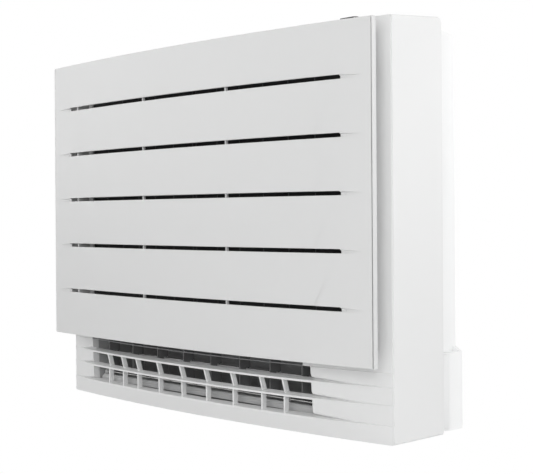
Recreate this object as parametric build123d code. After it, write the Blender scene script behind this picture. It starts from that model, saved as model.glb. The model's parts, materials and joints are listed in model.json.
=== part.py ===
from build123d import *
import math
import os

# Floor standing air conditioner, indoor unit with an upper and a lower air outlet.
# Frame: +Z up, +X to the right seen from the front, the front faces -Y. The origin is the
# centre of the footprint, on the floor. All lengths are in millimetres.

# ---------------------------------------------------------------- driving dimensions
# Whole unit
width = 750.0
height = 600.0
depth = 238.0
wall = 2.5  # moulded walls of the casing, the frame and the ducts
sheet = 1.2  # sheet metal
rest_gap = 0.3  # between parts that lie against each other
pin_gap = 0.05  # round a pin or shaft in its bore, on the radius

# Front panel
panel_bulge = 22.0  # how far its middle stands ahead of its ends
panel_rim = 9.0
panel_skin = 3.0
panel_foot = 109.0  # lower edge above the floor
panel_drop = 15.0  # upper edge below the top
panel_gap = 33.0  # open gap behind it at the sides
slot_count = 5
slot_pitch = 80.0
slot_height = 6.0
slot_half = 321.0
slot_first = 78.0  # lowest slot above the panel's lower edge
groove_reach = 42.0  # each slot fades out over this length
groove_depth = 3.2
rib_places = (-300.0, -100.0, 100.0)
rib_width = 3.0
rib_setback = 2.0  # ribs pass behind the slots this far behind the skin
guide_places = (-328.0, -300.0, 328.0)
guide_depth = 25.0  # air guides reach this far back beside the intake
guide_margin = 22.0  # and past the first and the last slot
lug_place = 335.5  # middle of each hinge lug from the centre
lug_width = 3.0
lug_r = 5.0
hinge_rise = 13.0  # hinge pin above the panel's lower edge
hinge_back = 35.0  # hinge pin behind the panel's front at its middle
hinge_pin_r = 3.0
ear_width = 5.0
ear_r = 6.0
catch_width = 10.0
catch_height = 8.0
catch_drop = 25.0  # below the panel's upper edge

# Front casing
casing_bulge = 35.5  # from the ledge upwards
foot_bulge = 23.6  # at the floor
ledge_z = 99.0
top_rise = 8.5
top_round = 10.0
side_round = 3.0  # edges between the top and the sides
foot_round_left = 6.0
foot_round_right = 3.0
intake_half = 300.0
intake_sill = 30.0  # above the panel's lower edge
intake_head = 38.0  # below the top
cheek = 13.0  # thick moulding beside the lower outlet
cheek_rise = 8.0  # above the ledge
screw_places = (-200.0, 0.0, 200.0)
screw_head_r = 4.0
screw_head_depth = 2.6
screw_rise = 16.0  # above the panel's lower edge

# Lower outlet
margin_left = 69.0  # outlet to the casing's left side
margin_right = 140.0  # outlet to the casing's right side, over the electrical bay
sill_z = 25.0
blade_levels = (78.5, 53.5, 25.0)
blade_edge = 3.0
blade_rise = 2.6
gill_depth = 9.0
gill_height = 6.0  # each channel beside the outlet, at the outlet
gill_slope = 5.0  # soft edge above it
gill_slope_depth = 1.2
gill_knee = 0.54  # share of the side strip over which each channel turns shallow
gill_knee_depth = 1.6
gill_knee_share = 0.45  # height left at the knee
gill_tip_depth = 0.4
gill_tip_share = 0.25  # height left at the casing's side
blade_depth = 11.0
fin_width = 3.0
fin_depth = 8.5
fin_setback = 1.5
fin_lean = 5.0  # fins stand further back on the middle blade
fin_under = 4.2  # and start this far behind its edge below it
fin_first = 51.0  # first fin from the duct's left side
fin_last = 55.0  # last fin from the outlet's right end
fin_pitch = 45.0  # between the first three and the last two
mouth_flare = 3.0  # the outlet's right end stands outside the duct
head_step = 13.0  # the taller head of the outlet stops short of its right end
head_rise = 12.0

# Rear frame
rear_depth = 61.0
rear_inset = 23.4
rear_top_drop = 19.0
rear_top_slope = 8.5
rear_top_flat = 26.0
block_height = 114.0
block_inset = 11.4
block_depth = 49.0
gusset_rise = 7.5
gusset_thick = 6.0
hook_hole_r = 4.0
hook_span_x = 560.0
hook_span_z = 380.0
hook_centre_z = 330.0

# Ducts and fan
duct_floor = 15.0
duct_roof = 104.0  # upper side of the lower duct's roof
duct_front = 10.0  # fan chamber's front behind the coil
duct_back_gap = 6.0
duct_corner_r = 70.0
throat_back = 0.6  # upper outlet's rear wall ahead of the rear frame's flange
throat_straight = 78.0
throat_slope = 55.0
bell_r = 92.0
bell_lip = 8.0
fan_r = 135.0
fan_skin = 2.0
fan_gap = 3.5
blade_count = 7
blade_in_r = 78.0
hub_r = 9.0
dome_r = 58.0
dome_nose_r = 46.0
shaft_r = 4.0
nut_r = 7.0
nut_depth = 6.0
motor_r = 38.0
motor_flange_r = 50.0
motor_length = 58.0
bracket_depth = 12.0
bracket_arm = 16.0

# Coil
coil_gap = 4.0  # coil's front behind the casing's front corners
coil_depth = 34.0
coil_end_left = 16.0
coil_end_right = 30.0
coil_foot = 34.0  # above the lower duct's roof
coil_head = 46.0  # below the top
coil_rows = 2
coil_tubes = 12
tube_r = 3.5
bend_reach = 4.0
groove_count = 24

# Drain pan and pipes
pan_lift = 4.0
pan_depth = 18.0
spigot_r = 8.0
gas_r = 6.35
liquid_r = 3.2
pipe_low = 60.0

# Filters
filter_thick = 4.0
filter_skin = 0.8
filter_rows = 4
filter_columns = 3
filter_bar = 6.0
cartridge_size = (180.0, 5.0, 60.0)

# Flaps and vanes
flap_gap = 0.8
flap_thick = 2.5
spine_r = 5.5
flap_pin_r = 1.8
flap_boss = 5.0
flap_reach = 6.0
vane_thick = 2.0
vane_pin_r = 1.6
tie_pin_r = 1.2
upper_vanes = 6
upper_vane_rise = 28.0
upper_vane_fall = 12.0
upper_pivot_drop = 60.0
lower_vanes = 8
lower_vane_back = 13.0
lower_vane_front = 9.5
lower_pivot_y = 10.0  # behind the casing's front corners
lower_vane_foot = 44.0
tie_r_upper = 24.0
tie_r_lower = 9.5
tie_thick = 3.0
swing = 25.0  # each way from upright, in degrees
notch = 6.0
rod_r = 1.5
rod_y = 18.0  # behind the casing's front corners
rod_z = 38.5
clip_places = (-84.0, 154.0)
clip_width = 6.0
tail_reach = 56.0
tail_drop = 9.0
lip_reach = 10.0
lip_foot = 24.5
stepper_r = 11.0
stepper_depth = 16.0
stepper_shift = (-4.0, -8.5)  # can's middle from the output shaft

# Electrical bay
box_gap = 20.0
box_foot = 150.0
box_head = 80.0
box_front = 16.0
board_thick = 1.6
terminal_height = 30.0

# Display and button
display_width = 32.0
display_depth = 12.0
display_proud = 3.0
display_place = 68.0  # its middle from the casing's right side
display_back = 9.0  # its middle ahead of the casing's front corners
display_sink = 6.0  # its foot below the top
button_r = 4.0
button_pitch = 26.0  # from the display's middle
button_back = 12.0
button_sink = 8.0
button_proud = 1.6
button_gap = 0.15

# ---------------------------------------------------------------- derived planes
half_w = width / 2
front_y = -depth / 2
rear_y = depth / 2
corner_y = front_y + panel_bulge + panel_rim + panel_gap
seam_y = rear_y - rear_depth
panel_top = height - panel_drop
hinge_y = front_y + hinge_back
hinge_z = panel_foot + hinge_rise
duct_x0 = -half_w + margin_left
duct_x1 = half_w - margin_right
duct_mid = (duct_x0 + duct_x1) / 2
window_x1 = duct_x1 + mouth_flare
coil_y0 = corner_y + coil_gap
coil_y1 = coil_y0 + coil_depth
housing_y0 = coil_y1 + duct_front
housing_y1 = rear_y - wall - duct_back_gap
throat_y1 = seam_y - 2 * wall - throat_back
throat_z = height - throat_straight
fan_z = (duct_roof + throat_z - throat_slope) / 2 + 20
motor_y1 = housing_y1 - wall - bracket_depth
motor_y0 = motor_y1 - motor_length
fan_y0 = housing_y0 + wall + fan_gap
fan_y1 = motor_y1 - 24
window_z0 = sill_z - blade_edge
head_z = ledge_z + head_rise


# ---------------------------------------------------------------- small helpers
def slab(x0, x1, y0, y1, z0, z1):
    """Block between two corners."""
    middle = Pos((x0 + x1) / 2, (y0 + y1) / 2, (z0 + z1) / 2)
    return middle * Box(x1 - x0, y1 - y0, z1 - z0)


def rod_along_x(x0, x1, y, z, r):
    return Pos((x0 + x1) / 2, y, z) * Rot(0, 90, 0) * Cylinder(r, x1 - x0)


def rod_along_y(x, y0, y1, z, r):
    return Pos(x, (y0 + y1) / 2, z) * Rot(90, 0, 0) * Cylinder(r, y1 - y0)


def rod_along_z(x, y, z0, z1, r):
    return Pos(x, y, (z0 + z1) / 2) * Cylinder(r, z1 - z0)


def side_prism(points, x0, x1):
    """Prism along X from an outline of (y, z) points."""
    return extrude(Plane.YZ.offset(x0) * Polygon(*points), amount=x1 - x0, dir=(1, 0, 0))


def arc_radius(bulge):
    return (half_w * half_w + bulge * bulge) / (2 * bulge)


def arc_y(x, crown_y, bulge, inset=0.0):
    """Front of a bowed face at x, or of a face behind it at the same centre."""
    r = arc_radius(bulge)
    return crown_y + r - math.sqrt((r - inset) ** 2 - x * x)


def bowed_face(crown_y, bulge, inset, half, rear):
    """Plan outline with a bowed front."""
    end_y = arc_y(half, crown_y, bulge, inset)
    corner = (-half, end_y)
    other = (half, end_y)
    edges = [
        ThreePointArc(corner, (0, crown_y + inset), other),
        Line(other, (half, rear)),
        Line((half, rear), (-half, rear)),
        Line((-half, rear), corner),
    ]
    return make_face(edges)


def casing_crown(z):
    """Front of the casing at its middle, and its bulge, at height z."""
    share = min(max(z / ledge_z, 0.0), 1.0)
    bulge = foot_bulge + (casing_bulge - foot_bulge) * share
    return corner_y - bulge, bulge


def casing_y(x, z):
    crown, bulge = casing_crown(z)
    return arc_y(x, crown, bulge)


def top_z(y):
    """Height of the sloping top at y."""
    peak_y = seam_y - top_round
    return height - top_rise * max(peak_y - y, 0.0) / (peak_y - corner_y)


def casing_column(inset, rear):
    """Upright solid behind the casing's bowed front, open-ended above the top."""
    low = Pos(0, 0, 0) * bowed_face(*casing_crown(0), inset, half_w - inset, rear)
    mid = Pos(0, 0, ledge_z) * bowed_face(*casing_crown(ledge_z), inset, half_w - inset, rear)
    return loft([low, mid], ruled=True) + extrude(mid, amount=height - ledge_z + 20)


def casing_block(inset, rear, floor=0.0):
    """Solid within the casing's outline, inset by a wall on every outer side."""
    far = 60.0
    slope = top_rise / (seam_y - top_round - corner_y)
    front_cut = corner_y - far
    bend_y = seam_y - top_round
    bend_z = height - top_round
    r = top_round - inset
    half_r = r * math.sqrt(0.5)
    outline = [
        Polyline(
            (rear + 1, bend_z),
            (rear + 1, height + far),
            (front_cut, height + far),
            (front_cut, height - slope * (bend_y - front_cut) - inset),
            (bend_y, height - inset),
        ),
        ThreePointArc((bend_y, bend_z + r), (bend_y + half_r, bend_z + half_r), (bend_y + r, bend_z)),
        Line((bend_y + r, bend_z), (rear + 1, bend_z)),
    ]
    above = extrude(Plane.YZ.offset(-width) * make_face(outline), amount=2 * width, dir=(1, 0, 0))
    block = casing_column(inset, rear) - above
    if floor > 0:
        block -= slab(-width, width, -depth, depth, -1, floor)
    return block


def edge_cutter(side, r, rise):
    """What a rounding of radius r takes off a lower side edge, or off a rising upper one."""
    x = side * (half_w - r)
    if rise == 0:
        corner = slab(min(x, side * width), max(x, side * width), -depth, depth, -1, r)
        return corner - rod_along_y(x, -depth, depth, r, r)
    slope = Vector(0, seam_y - top_round - corner_y, top_rise)
    start = Vector(x, corner_y, height - top_rise - r) - slope
    plane = Plane(origin=start, x_dir=(1, 0, 0), z_dir=(0, -1, 0))
    far = side * (width - half_w)
    square = Pos(far / 2, (r + rise) / 2) * Rectangle(abs(far), r + rise)
    return extrude(plane * (square - Circle(r)), amount=3 * slope.length, dir=slope.normalized())


# ---------------------------------------------------------------- front panel
def panel_block(inset, trim):
    """Bowed slab of the panel; a smaller one, trimmed at its edges, makes the hollow."""
    half = half_w - trim
    outer = bowed_face(front_y, panel_bulge, inset, half, rear_y)
    back = bowed_face(front_y, panel_bulge, panel_rim, half_w + 5, rear_y + 5)
    plan = outer - back
    return Pos(0, 0, panel_foot + trim) * extrude(plan, amount=panel_top - panel_foot - 2 * trim)


def slot_cutter(z):
    """One slot with its groove fading out past each end."""
    y_mid = front_y - 20
    cut = slab(-slot_half, slot_half, y_mid, corner_y, z - slot_height / 2, z + slot_height / 2)
    lip = slot_height / 2 + 1.6
    for side in (-1, 1):
        face_y = arc_y(slot_half, front_y, panel_bulge)
        tip_x = slot_half + groove_reach
        tip_y = arc_y(tip_x, front_y, panel_bulge)
        start = Polyline(
            (side * slot_half, face_y - 4, z + lip + 1),
            (side * slot_half, face_y + groove_depth, z + 0.6),
            (side * slot_half, face_y + groove_depth, z - slot_height / 2),
            (side * slot_half, face_y - 4, z - slot_height / 2),
            close=True,
        )
        end = Polyline(
            (side * tip_x, tip_y - 4, z + 1.5),
            (side * tip_x, tip_y - 0.2, z + 0.6),
            (side * tip_x, tip_y - 0.2, z - slot_height / 2),
            (side * tip_x, tip_y - 4, z - slot_height / 2),
            close=True,
        )
        cut += loft([make_face(start), make_face(end)], ruled=True)
    return cut


def panel_ribs(setback):
    """Upright ribs behind the skin."""
    room = panel_block(setback, panel_skin)
    ribs = []
    for x in rib_places:
        rib = slab(x - rib_width / 2, x + rib_width / 2, front_y, corner_y, panel_foot, panel_top)
        ribs.append(rib & room)
    return ribs


def panel_guides():
    """Deeper air guides at both ends of the slots."""
    z0 = panel_foot + slot_first - guide_margin
    z1 = panel_foot + slot_first + (slot_count - 1) * slot_pitch + guide_margin
    guides = []
    for place in guide_places:
        skin_y = arc_y(place, front_y, panel_bulge, panel_skin)
        x0 = place - rib_width / 2
        y0 = skin_y + rib_setback if abs(place) < slot_half else skin_y - 1
        guides.append(slab(x0, x0 + rib_width, y0, skin_y + guide_depth, z0, z1))
    return guides


def make_front_panel():
    shell = panel_block(0, 0) - panel_block(panel_skin, panel_skin)
    for rib in panel_ribs(panel_skin):
        shell += rib
    for number in range(slot_count):
        shell -= slot_cutter(panel_foot + slot_first + number * slot_pitch)
    for rib in panel_ribs(panel_skin + rib_setback) + panel_guides():
        shell += rib
    pin_reach = ear_width + 1.5
    for side in (-1, 1):
        x0 = side * lug_place - lug_width / 2
        skin_y = arc_y(lug_place, front_y, panel_bulge, panel_skin) - 0.5
        lug = slab(x0, x0 + lug_width, skin_y, hinge_y, hinge_z - lug_r, hinge_z + lug_r)
        lug += rod_along_x(x0, x0 + lug_width, hinge_y, hinge_z, lug_r)
        inner = side * (lug_place + lug_width / 2)
        outer = side * (lug_place + lug_width / 2 + pin_reach)
        lug += rod_along_x(min(inner, outer), max(inner, outer), hinge_y, hinge_z, hinge_pin_r)
        shell += lug
    return shell


# ---------------------------------------------------------------- front casing
def gill_cutter(x_window, x_end, level):
    """Channel that fades out from the outlet towards the side, above a blade's edge line."""
    ahead = 12.0
    spill = 0.6
    x_knee = x_window + gill_knee * (x_end - x_window)
    stations = [
        (x_window, gill_depth, 1.0),
        (x_knee, gill_knee_depth, gill_knee_share),
        (x_end, gill_tip_depth, gill_tip_share),
    ]
    sections = []
    for x, deep, share in stations:
        surface = casing_y(x, level)
        lip_z = level + share * gill_height
        soft = gill_slope_depth * deep / gill_depth
        outline = Polyline(
            (x, surface - ahead, lip_z + share * gill_slope),
            (x, casing_y(x, lip_z) - spill, lip_z + share * gill_slope),
            (x, casing_y(x, lip_z) + soft, lip_z),
            (x, surface + deep, level + share * blade_rise),
            (x, surface - spill, level - spill * share * blade_rise / deep),
            (x, surface - ahead, level - spill * share * blade_rise / deep),
            close=True,
        )
        sections.append(make_face(outline))
    return loft(sections, ruled=True)


def make_front_casing():
    outer = casing_block(0, seam_y)
    outer -= edge_cutter(-1, foot_round_left, 0)
    outer -= edge_cutter(1, foot_round_right, 0)
    for side in (-1, 1):
        outer -= edge_cutter(side, side_round, top_rise)
    shell = outer - casing_block(wall, seam_y + 5, floor=wall)
    cheeks = casing_column(wall / 2, seam_y) - casing_column(cheek, seam_y + 5)
    low, high = window_z0 - wall, ledge_z + cheek_rise
    right = slab(window_x1, width, -depth, 0, low, high)
    left = slab(-width, duct_x0, -depth, 0, low, high)
    shell += cheeks & right
    shell += cheeks & left
    intake_z0 = panel_foot + intake_sill
    intake_z1 = height - intake_head
    shell -= slab(-intake_half, intake_half, -depth, corner_y, intake_z0, intake_z1)
    shell -= slab(duct_x0, window_x1, -depth, corner_y + 20, window_z0, ledge_z)
    shell -= slab(duct_x0, window_x1 - head_step, -depth, corner_y + 20, window_z0, head_z)
    for level in blade_levels:
        shell -= gill_cutter(window_x1, half_w, level)
        shell -= gill_cutter(duct_x0, -half_w, level)
    # Upper outlet, display seat and button bore in the top
    shell -= slab(duct_x0, duct_x1, housing_y0 + wall, throat_y1, height - 40, height + 20)
    shell -= display_block(pin_gap, height + 20)
    shell -= button_block(button_r + button_gap, height + 20)
    return shell


def make_hinge_ears():
    """Two bored ears on the casing that carry the panel's hinge pins."""
    ears = []
    for side in (-1, 1):
        x = side * (lug_place + lug_width / 2 + 0.5 + ear_width / 2)
        root_y = casing_y(x, hinge_z) + ear_r
        ear = slab(x - ear_width / 2, x + ear_width / 2, hinge_y, root_y, hinge_z - ear_r, hinge_z + ear_r)
        ear += rod_along_x(x - ear_width / 2, x + ear_width / 2, hinge_y, hinge_z, ear_r)
        ear -= rod_along_x(x - ear_width, x + ear_width, hinge_y, hinge_z, hinge_pin_r + pin_gap)
        ears.append(ear - casing_block(-0.1, seam_y))
    return Compound(children=ears)


def make_panel_catches():
    """Two spring catches that hold the panel's upper edge."""
    catches = []
    for side in (-1, 1):
        half = catch_width / 2
        x = side * (lug_place - half - 1)
        y1 = casing_y(abs(x) + half, ledge_z) + 1
        y0 = arc_y(abs(x) - half, front_y, panel_bulge, panel_skin) + 1.5
        z1 = panel_top - catch_drop
        block = slab(x - half, x + half, y0, y1, z1 - catch_height, z1)
        catches.append(block - casing_block(-0.1, seam_y))
    return Compound(children=catches)


# ---------------------------------------------------------------- lower outlet grille
def make_outlet_grille():
    """Three blades bowed like the casing, and nine upright fins."""
    grille = None
    for level in blade_levels:
        crown, bulge = casing_crown(level)
        r = arc_radius(bulge)
        rise = blade_rise * blade_depth / gill_depth
        section = Polygon(
            (-r, level - blade_edge),
            (-r, level),
            (-r + blade_depth, level + rise),
            (-r + blade_depth, level + rise - blade_edge * 0.7),
            (-r + blade_edge, level - blade_edge),
        )
        ring = revolve(Plane.YZ * section, Axis.Z, 360)
        ring = Pos(0, crown + r, 0) * ring
        blade = ring & slab(duct_x0, window_x1, -depth, 0, 0, height)
        grille = blade if grille is None else grille + blade
    first = duct_x0 + fin_first
    last = window_x1 - fin_last
    places = [first, first + fin_pitch, first + 2 * fin_pitch, last - fin_pitch, last]
    spread = (places[3] - places[2]) / 5
    places += [places[2] + spread * (number + 1) for number in range(4)]
    upper, middle, lower = blade_levels
    for x in places:
        y_top = casing_y(x, upper) + fin_setback
        y_mid = casing_y(x, middle) + fin_setback + fin_lean
        y_under = casing_y(x, middle) + fin_under
        y_low = casing_y(x, lower) + fin_setback
        high = [(y_top, upper - 1), (y_mid, middle - 1)]
        low = [(y_under, middle - 1), (y_low, lower - 1)]
        for (y0, z0), (y1, z1) in (high, low):
            side = [(y0, z0), (y1, z1), (y1 + fin_depth, z1), (y0 + fin_depth, z0)]
            grille += side_prism(side, x - fin_width / 2, x + fin_width / 2)
    return grille


# ---------------------------------------------------------------- rear frame
def make_rear_frame():
    half = half_w - rear_inset
    top_front = height - rear_top_drop + rear_top_slope
    top_rear = height - rear_top_drop
    outer = side_prism(
        [
            (seam_y, 0),
            (rear_y, 0),
            (rear_y, top_rear),
            (seam_y + rear_top_flat, top_front),
            (seam_y, top_front),
        ],
        -half,
        half,
    )
    inner = side_prism(
        [
            (seam_y - 1, wall),
            (rear_y - wall, wall),
            (rear_y - wall, top_rear - wall),
            (seam_y + rear_top_flat, top_front - wall),
            (seam_y - 1, top_front - wall),
        ],
        -half + wall,
        half - wall,
    )
    block_half = half_w - block_inset
    block = slab(-block_half, block_half, rear_y - block_depth, rear_y, 0, block_height)
    block -= slab(-block_half + wall, block_half - wall, 0, rear_y - wall, wall, block_height - wall)
    flange_top = height - top_round - rest_gap
    flange = casing_block(wall + rest_gap, seam_y, floor=wall + rest_gap)
    flange &= slab(-width, width, seam_y - wall, seam_y, 0, flange_top)
    flange -= slab(-half + wall, half - wall, 0, rear_y, wall + 6, top_front - wall - 6)
    frame = (outer + block) - inner
    frame += flange
    for side in (-1, 1):
        gusset = Polygon(
            (side * (half - 1), block_height - 1),
            (side * (half - 1), block_height + gusset_rise),
            (side * half, block_height + gusset_rise),
            (side * block_half, block_height),
            (side * block_half, block_height - 1),
            align=None,
        )
        frame += extrude(Plane.XZ.offset(-rear_y) * gusset, amount=gusset_thick, dir=(0, -1, 0))
    for side in (-1, 1):
        for level in (-1, 1):
            x = side * hook_span_x / 2
            z = hook_centre_z + level * hook_span_z / 2
            frame -= rod_along_y(x, rear_y - 2 * wall, rear_y + 1, z, hook_hole_r)
    return frame


# ---------------------------------------------------------------- ducts
def duct_outline(inset):
    """Side view of the fan chamber, the upper throat and the lower duct."""
    back = housing_y1 - inset
    floor = duct_floor + inset
    front = housing_y0 + inset
    throat = throat_y1 + wall - inset
    far = -depth
    points = [
        (far, floor),
        (back, floor),
        (back, throat_z - throat_slope),
        (throat, throat_z),
        (throat, height + 5),
        (front, height + 5),
        (front, duct_roof - inset),
        (far, duct_roof - inset),
    ]
    outline = Polygon(*points)
    corner = outline.vertices().sort_by(lambda v: (v.X - back) ** 2 + (v.Y - floor) ** 2)[0]
    return fillet(corner, duct_corner_r - inset)


def fan_plane():
    """Local Z runs from the front to the back along the fan's axis."""
    return Plane(origin=(duct_mid, 0, fan_z), x_dir=(1, 0, 0), z_dir=(0, 1, 0))


def make_duct_housing():
    inside = duct_outline(wall)
    outer = extrude(Plane.YZ.offset(duct_x0 - wall) * duct_outline(0), amount=duct_x1 - duct_x0 + 2 * wall)
    inner = extrude(Plane.YZ.offset(duct_x0) * inside, amount=duct_x1 - duct_x0)
    housing = (outer - inner) & casing_block(wall + rest_gap, rear_y)
    mouth = casing_column(0, rear_y) - casing_column(cheek + rest_gap, rear_y + 5)
    housing -= mouth & slab(-width, width, -depth, 0, 0, head_z + wall)
    rim = 14.0
    housing -= slab(
        duct_x0 + rim,
        duct_x1 - rim,
        housing_y0 - 1,
        housing_y0 + wall + 1,
        duct_roof + 2 * rim,
        throat_z - rim,
    )
    # Curved walls that lead the fan's air up and down
    reach = 30.0
    scroll_r = fan_r + reach
    ring = Cylinder(scroll_r + wall, housing_y1 - housing_y0 - wall) - Cylinder(scroll_r, 2 * depth)
    keep = Box(4 * scroll_r, 1.5 * scroll_r, 2 * depth)
    scroll = fan_plane().location * (Pos(0, 0, (housing_y0 + housing_y1) / 2) * (ring & keep))
    housing += scroll
    for end, side in ((duct_x0, -1), (duct_x1, 1)):
        ends = sorted((end, end + side * flap_boss))
        boss = rod_along_x(*ends, flap_axis_y(), flap_axis_z(), flap_boss)
        housing += boss & casing_block(wall + rest_gap, rear_y)
        housing -= rod_along_x(end - 8, end + 8, flap_axis_y(), flap_axis_z(), flap_pin_r + pin_gap)
    housing -= rod_along_x(duct_x0 - 5, duct_x0 + 5, rod_axis_y(), rod_z, rod_r)
    housing -= rod_along_x(duct_x1 - 5, duct_x1 + 5, rod_axis_y(), rod_z, sleeve_r() + pin_gap)
    for x in vane_places(upper_vanes):
        z = height - upper_pivot_drop
        housing -= rod_along_y(x, housing_y0 - 1, throat_y1 + wall + 1, z, vane_pin_r + pin_gap)
    for x in vane_places(lower_vanes):
        housing -= rod_along_z(x, corner_y + lower_pivot_y, duct_roof - 2 * wall, duct_roof + 1, vane_pin_r + pin_gap)
    return housing


def make_bell_mouth():
    """Plate over the fan chamber's front with a flared inlet."""
    plate_t = wall
    rim = 4.0
    plate = slab(
        duct_x0 + rim,
        duct_x1 - rim,
        housing_y0 - plate_t - rest_gap,
        housing_y0 - rest_gap,
        duct_roof + rim + 2,
        throat_z - rim,
    )
    y0 = housing_y0 - plate_t - rest_gap
    y1 = fan_y0 + bell_lip
    flare = Polygon(
        (bell_r + 10, y0),
        (bell_r + 3, y0 + 2),
        (bell_r, y0 + 8),
        (bell_r, y1),
        (bell_r + 1.6, y1),
        (bell_r + 1.6, y0 + 8),
        (bell_r + 4.5, y0 + 3.5),
        (bell_r + 12, y0 + 2.5),
    )
    hole = Cylinder(bell_r + 9, 4 * depth)
    ring = revolve(Plane.XZ * flare, Axis.Z, 360)
    place = fan_plane().location
    return (plate - place * hole) + place * ring


# ---------------------------------------------------------------- fan and motor
def make_turbo_fan():
    y0 = fan_y0
    y1 = fan_y1
    eye = bell_r + 1.6 + 2.4
    shroud = Polygon(
        (eye, y0),
        (eye + 4, y0 + 12),
        (fan_r, y0 + 20),
        (fan_r, y0 + 20 + fan_skin),
        (eye + 3, y0 + 13 + fan_skin),
        (eye - 0, y0 + bell_lip + 8),
        (eye - 0.01, y0 + 4),
    )
    dome_y = motor_y0 - 6
    hub = Polygon(
        (shaft_r + pin_gap, dome_y - 8),
        (hub_r, dome_y - 8),
        (hub_r, dome_y - fan_skin),
        (dome_nose_r, dome_y - fan_skin),
        (dome_r, y1 - fan_skin),
        (fan_r, y1 - fan_skin),
        (fan_r, y1),
        (dome_r - 1, y1),
        (dome_nose_r - 2, dome_y),
        (hub_r, dome_y),
        (hub_r, dome_y + 4),
        (shaft_r + pin_gap, dome_y + 4),
    )
    wheel = revolve(Plane.XZ * hub, Axis.Z, 360)
    wheel += revolve(Plane.XZ * shroud, Axis.Z, 360)
    inner_r = blade_in_r
    outer_r = fan_r - 0.5
    sweep_angle = 38.0
    room = Polygon(
        (inner_r - 8, y1 - fan_skin / 2),
        (fan_r, y1 - fan_skin / 2),
        (fan_r, y0 + 20 + fan_skin / 2),
        (eye + 3, y0 + 13 + fan_skin / 2),
        (eye - 0, y0 + 12),
        (inner_r - 8, y0 + 18),
    )
    span = revolve(Plane.XZ * room, Axis.Z, 360)
    for number in range(blade_count):
        turn = 360.0 / blade_count * number
        start = Vector(inner_r, 0)
        end = Vector(outer_r, 0).rotate(Axis.Z, -sweep_angle)
        bow = Vector((inner_r + outer_r) / 2 + 6, 0).rotate(Axis.Z, -sweep_angle * 0.42)
        spine = ThreePointArc(start, bow, end)
        normal = (spine % 0.0).rotate(Axis.Z, 90)
        second_start = start + normal * fan_skin
        second_bow = bow + (spine % 0.5).rotate(Axis.Z, 90) * fan_skin
        second_end = end + (spine % 1.0).rotate(Axis.Z, 90) * fan_skin
        back = ThreePointArc(second_start, second_bow, second_end)
        blade_face = make_face([spine, Line(end, second_end), back, Line(start, second_start)])
        blade = extrude(Pos(0, 0, y0) * blade_face, amount=y1 - y0)
        wheel += (Rot(0, 0, turn) * blade) & span
    return fan_plane().location * wheel


def make_motor_shaft():
    return rod_along_y(duct_mid, motor_y0 - 24, motor_y0 + motor_length - 8, fan_z, shaft_r)


def make_fan_nut():
    y1 = motor_y0 - 14 - rest_gap
    body = extrude(Pos(0, 0, y1 - nut_depth) * RegularPolygon(nut_r, 6), amount=nut_depth)
    bore = Pos(0, 0, y1 - nut_depth / 2) * Cylinder(shaft_r + pin_gap, 2 * nut_depth)
    return fan_plane().location * (body - bore)


def make_fan_motor():
    y0 = motor_y0
    y1 = motor_y1
    outline = Polygon(
        (shaft_r + pin_gap, y0),
        (14, y0),
        (14, y0 + 3),
        (motor_r - 5, y0 + 3),
        (motor_r, y0 + 8),
        (motor_r, y1 - 10),
        (motor_flange_r, y1 - 8),
        (motor_flange_r, y1 - 4),
        (motor_r, y1 - 4),
        (motor_r, y1 - rest_gap),
        (0, y1 - rest_gap),
        (0, y1 - 7),
        (shaft_r + pin_gap, y1 - 7),
    )
    return fan_plane().location * revolve(Plane.XZ * outline, Axis.Z, 360)


def make_motor_bracket():
    """Ring and three legs on the chamber's rear wall."""
    y0 = motor_y1 - 3.7
    y1 = housing_y1 - wall - rest_gap
    ring = Polygon(
        (motor_r + rest_gap, y0),
        (motor_flange_r + 6, y0),
        (motor_flange_r + 6, y0 + 3),
        (motor_r + rest_gap, y0 + 3),
    )
    body = revolve(Plane.XZ * ring, Axis.Z, 360)
    for number in range(3):
        leg = slab(motor_r + 2, motor_flange_r + 6, -bracket_arm / 2, bracket_arm / 2, y0 + 2, y1)
        foot = slab(motor_r + 2, motor_flange_r + 22, -bracket_arm / 2, bracket_arm / 2, y1 - 2.5, y1)
        body += Rot(0, 0, 90 + 120 * number) * (leg + foot)
    return fan_plane().location * body


# ---------------------------------------------------------------- coil
def coil_span():
    return duct_x0 + coil_end_left, duct_x1 - coil_end_right, duct_roof + coil_foot, height - coil_head


def make_coil_fin_block():
    x0, x1, z0, z1 = coil_span()
    block = slab(x0 + sheet + 0.1, x1 - sheet - 0.1, coil_y0, coil_y1, z0, z1)
    pitch = (x1 - x0) / (groove_count + 1)
    for number in range(groove_count):
        x = x0 + (number + 1) * pitch
        block -= slab(x - 0.8, x + 0.8, coil_y0 - 1, coil_y0 + 2, z0 - 1, z1 + 1)
    return block


def tube_levels():
    x0, x1, z0, z1 = coil_span()
    pitch = (z1 - z0) / coil_tubes
    return [z0 + pitch * (number + 0.5) for number in range(coil_tubes)]


def tube_rows():
    return [coil_y0 + coil_depth * (row + 0.5) / coil_rows for row in range(coil_rows)]


def make_coil_end_plates():
    x0, x1, z0, z1 = coil_span()
    plates = []
    for x in (x0, x1 - sheet):
        plate = slab(x, x + sheet, coil_y0 - 2, housing_y0 - wall - 2 * rest_gap, z0 - 4, z1 + 4)
        for y in tube_rows():
            for z in tube_levels():
                plate -= rod_along_x(x - 2, x + 4, y, z, tube_r + pin_gap)
        plates.append(plate)
    return Compound(children=plates)


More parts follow.
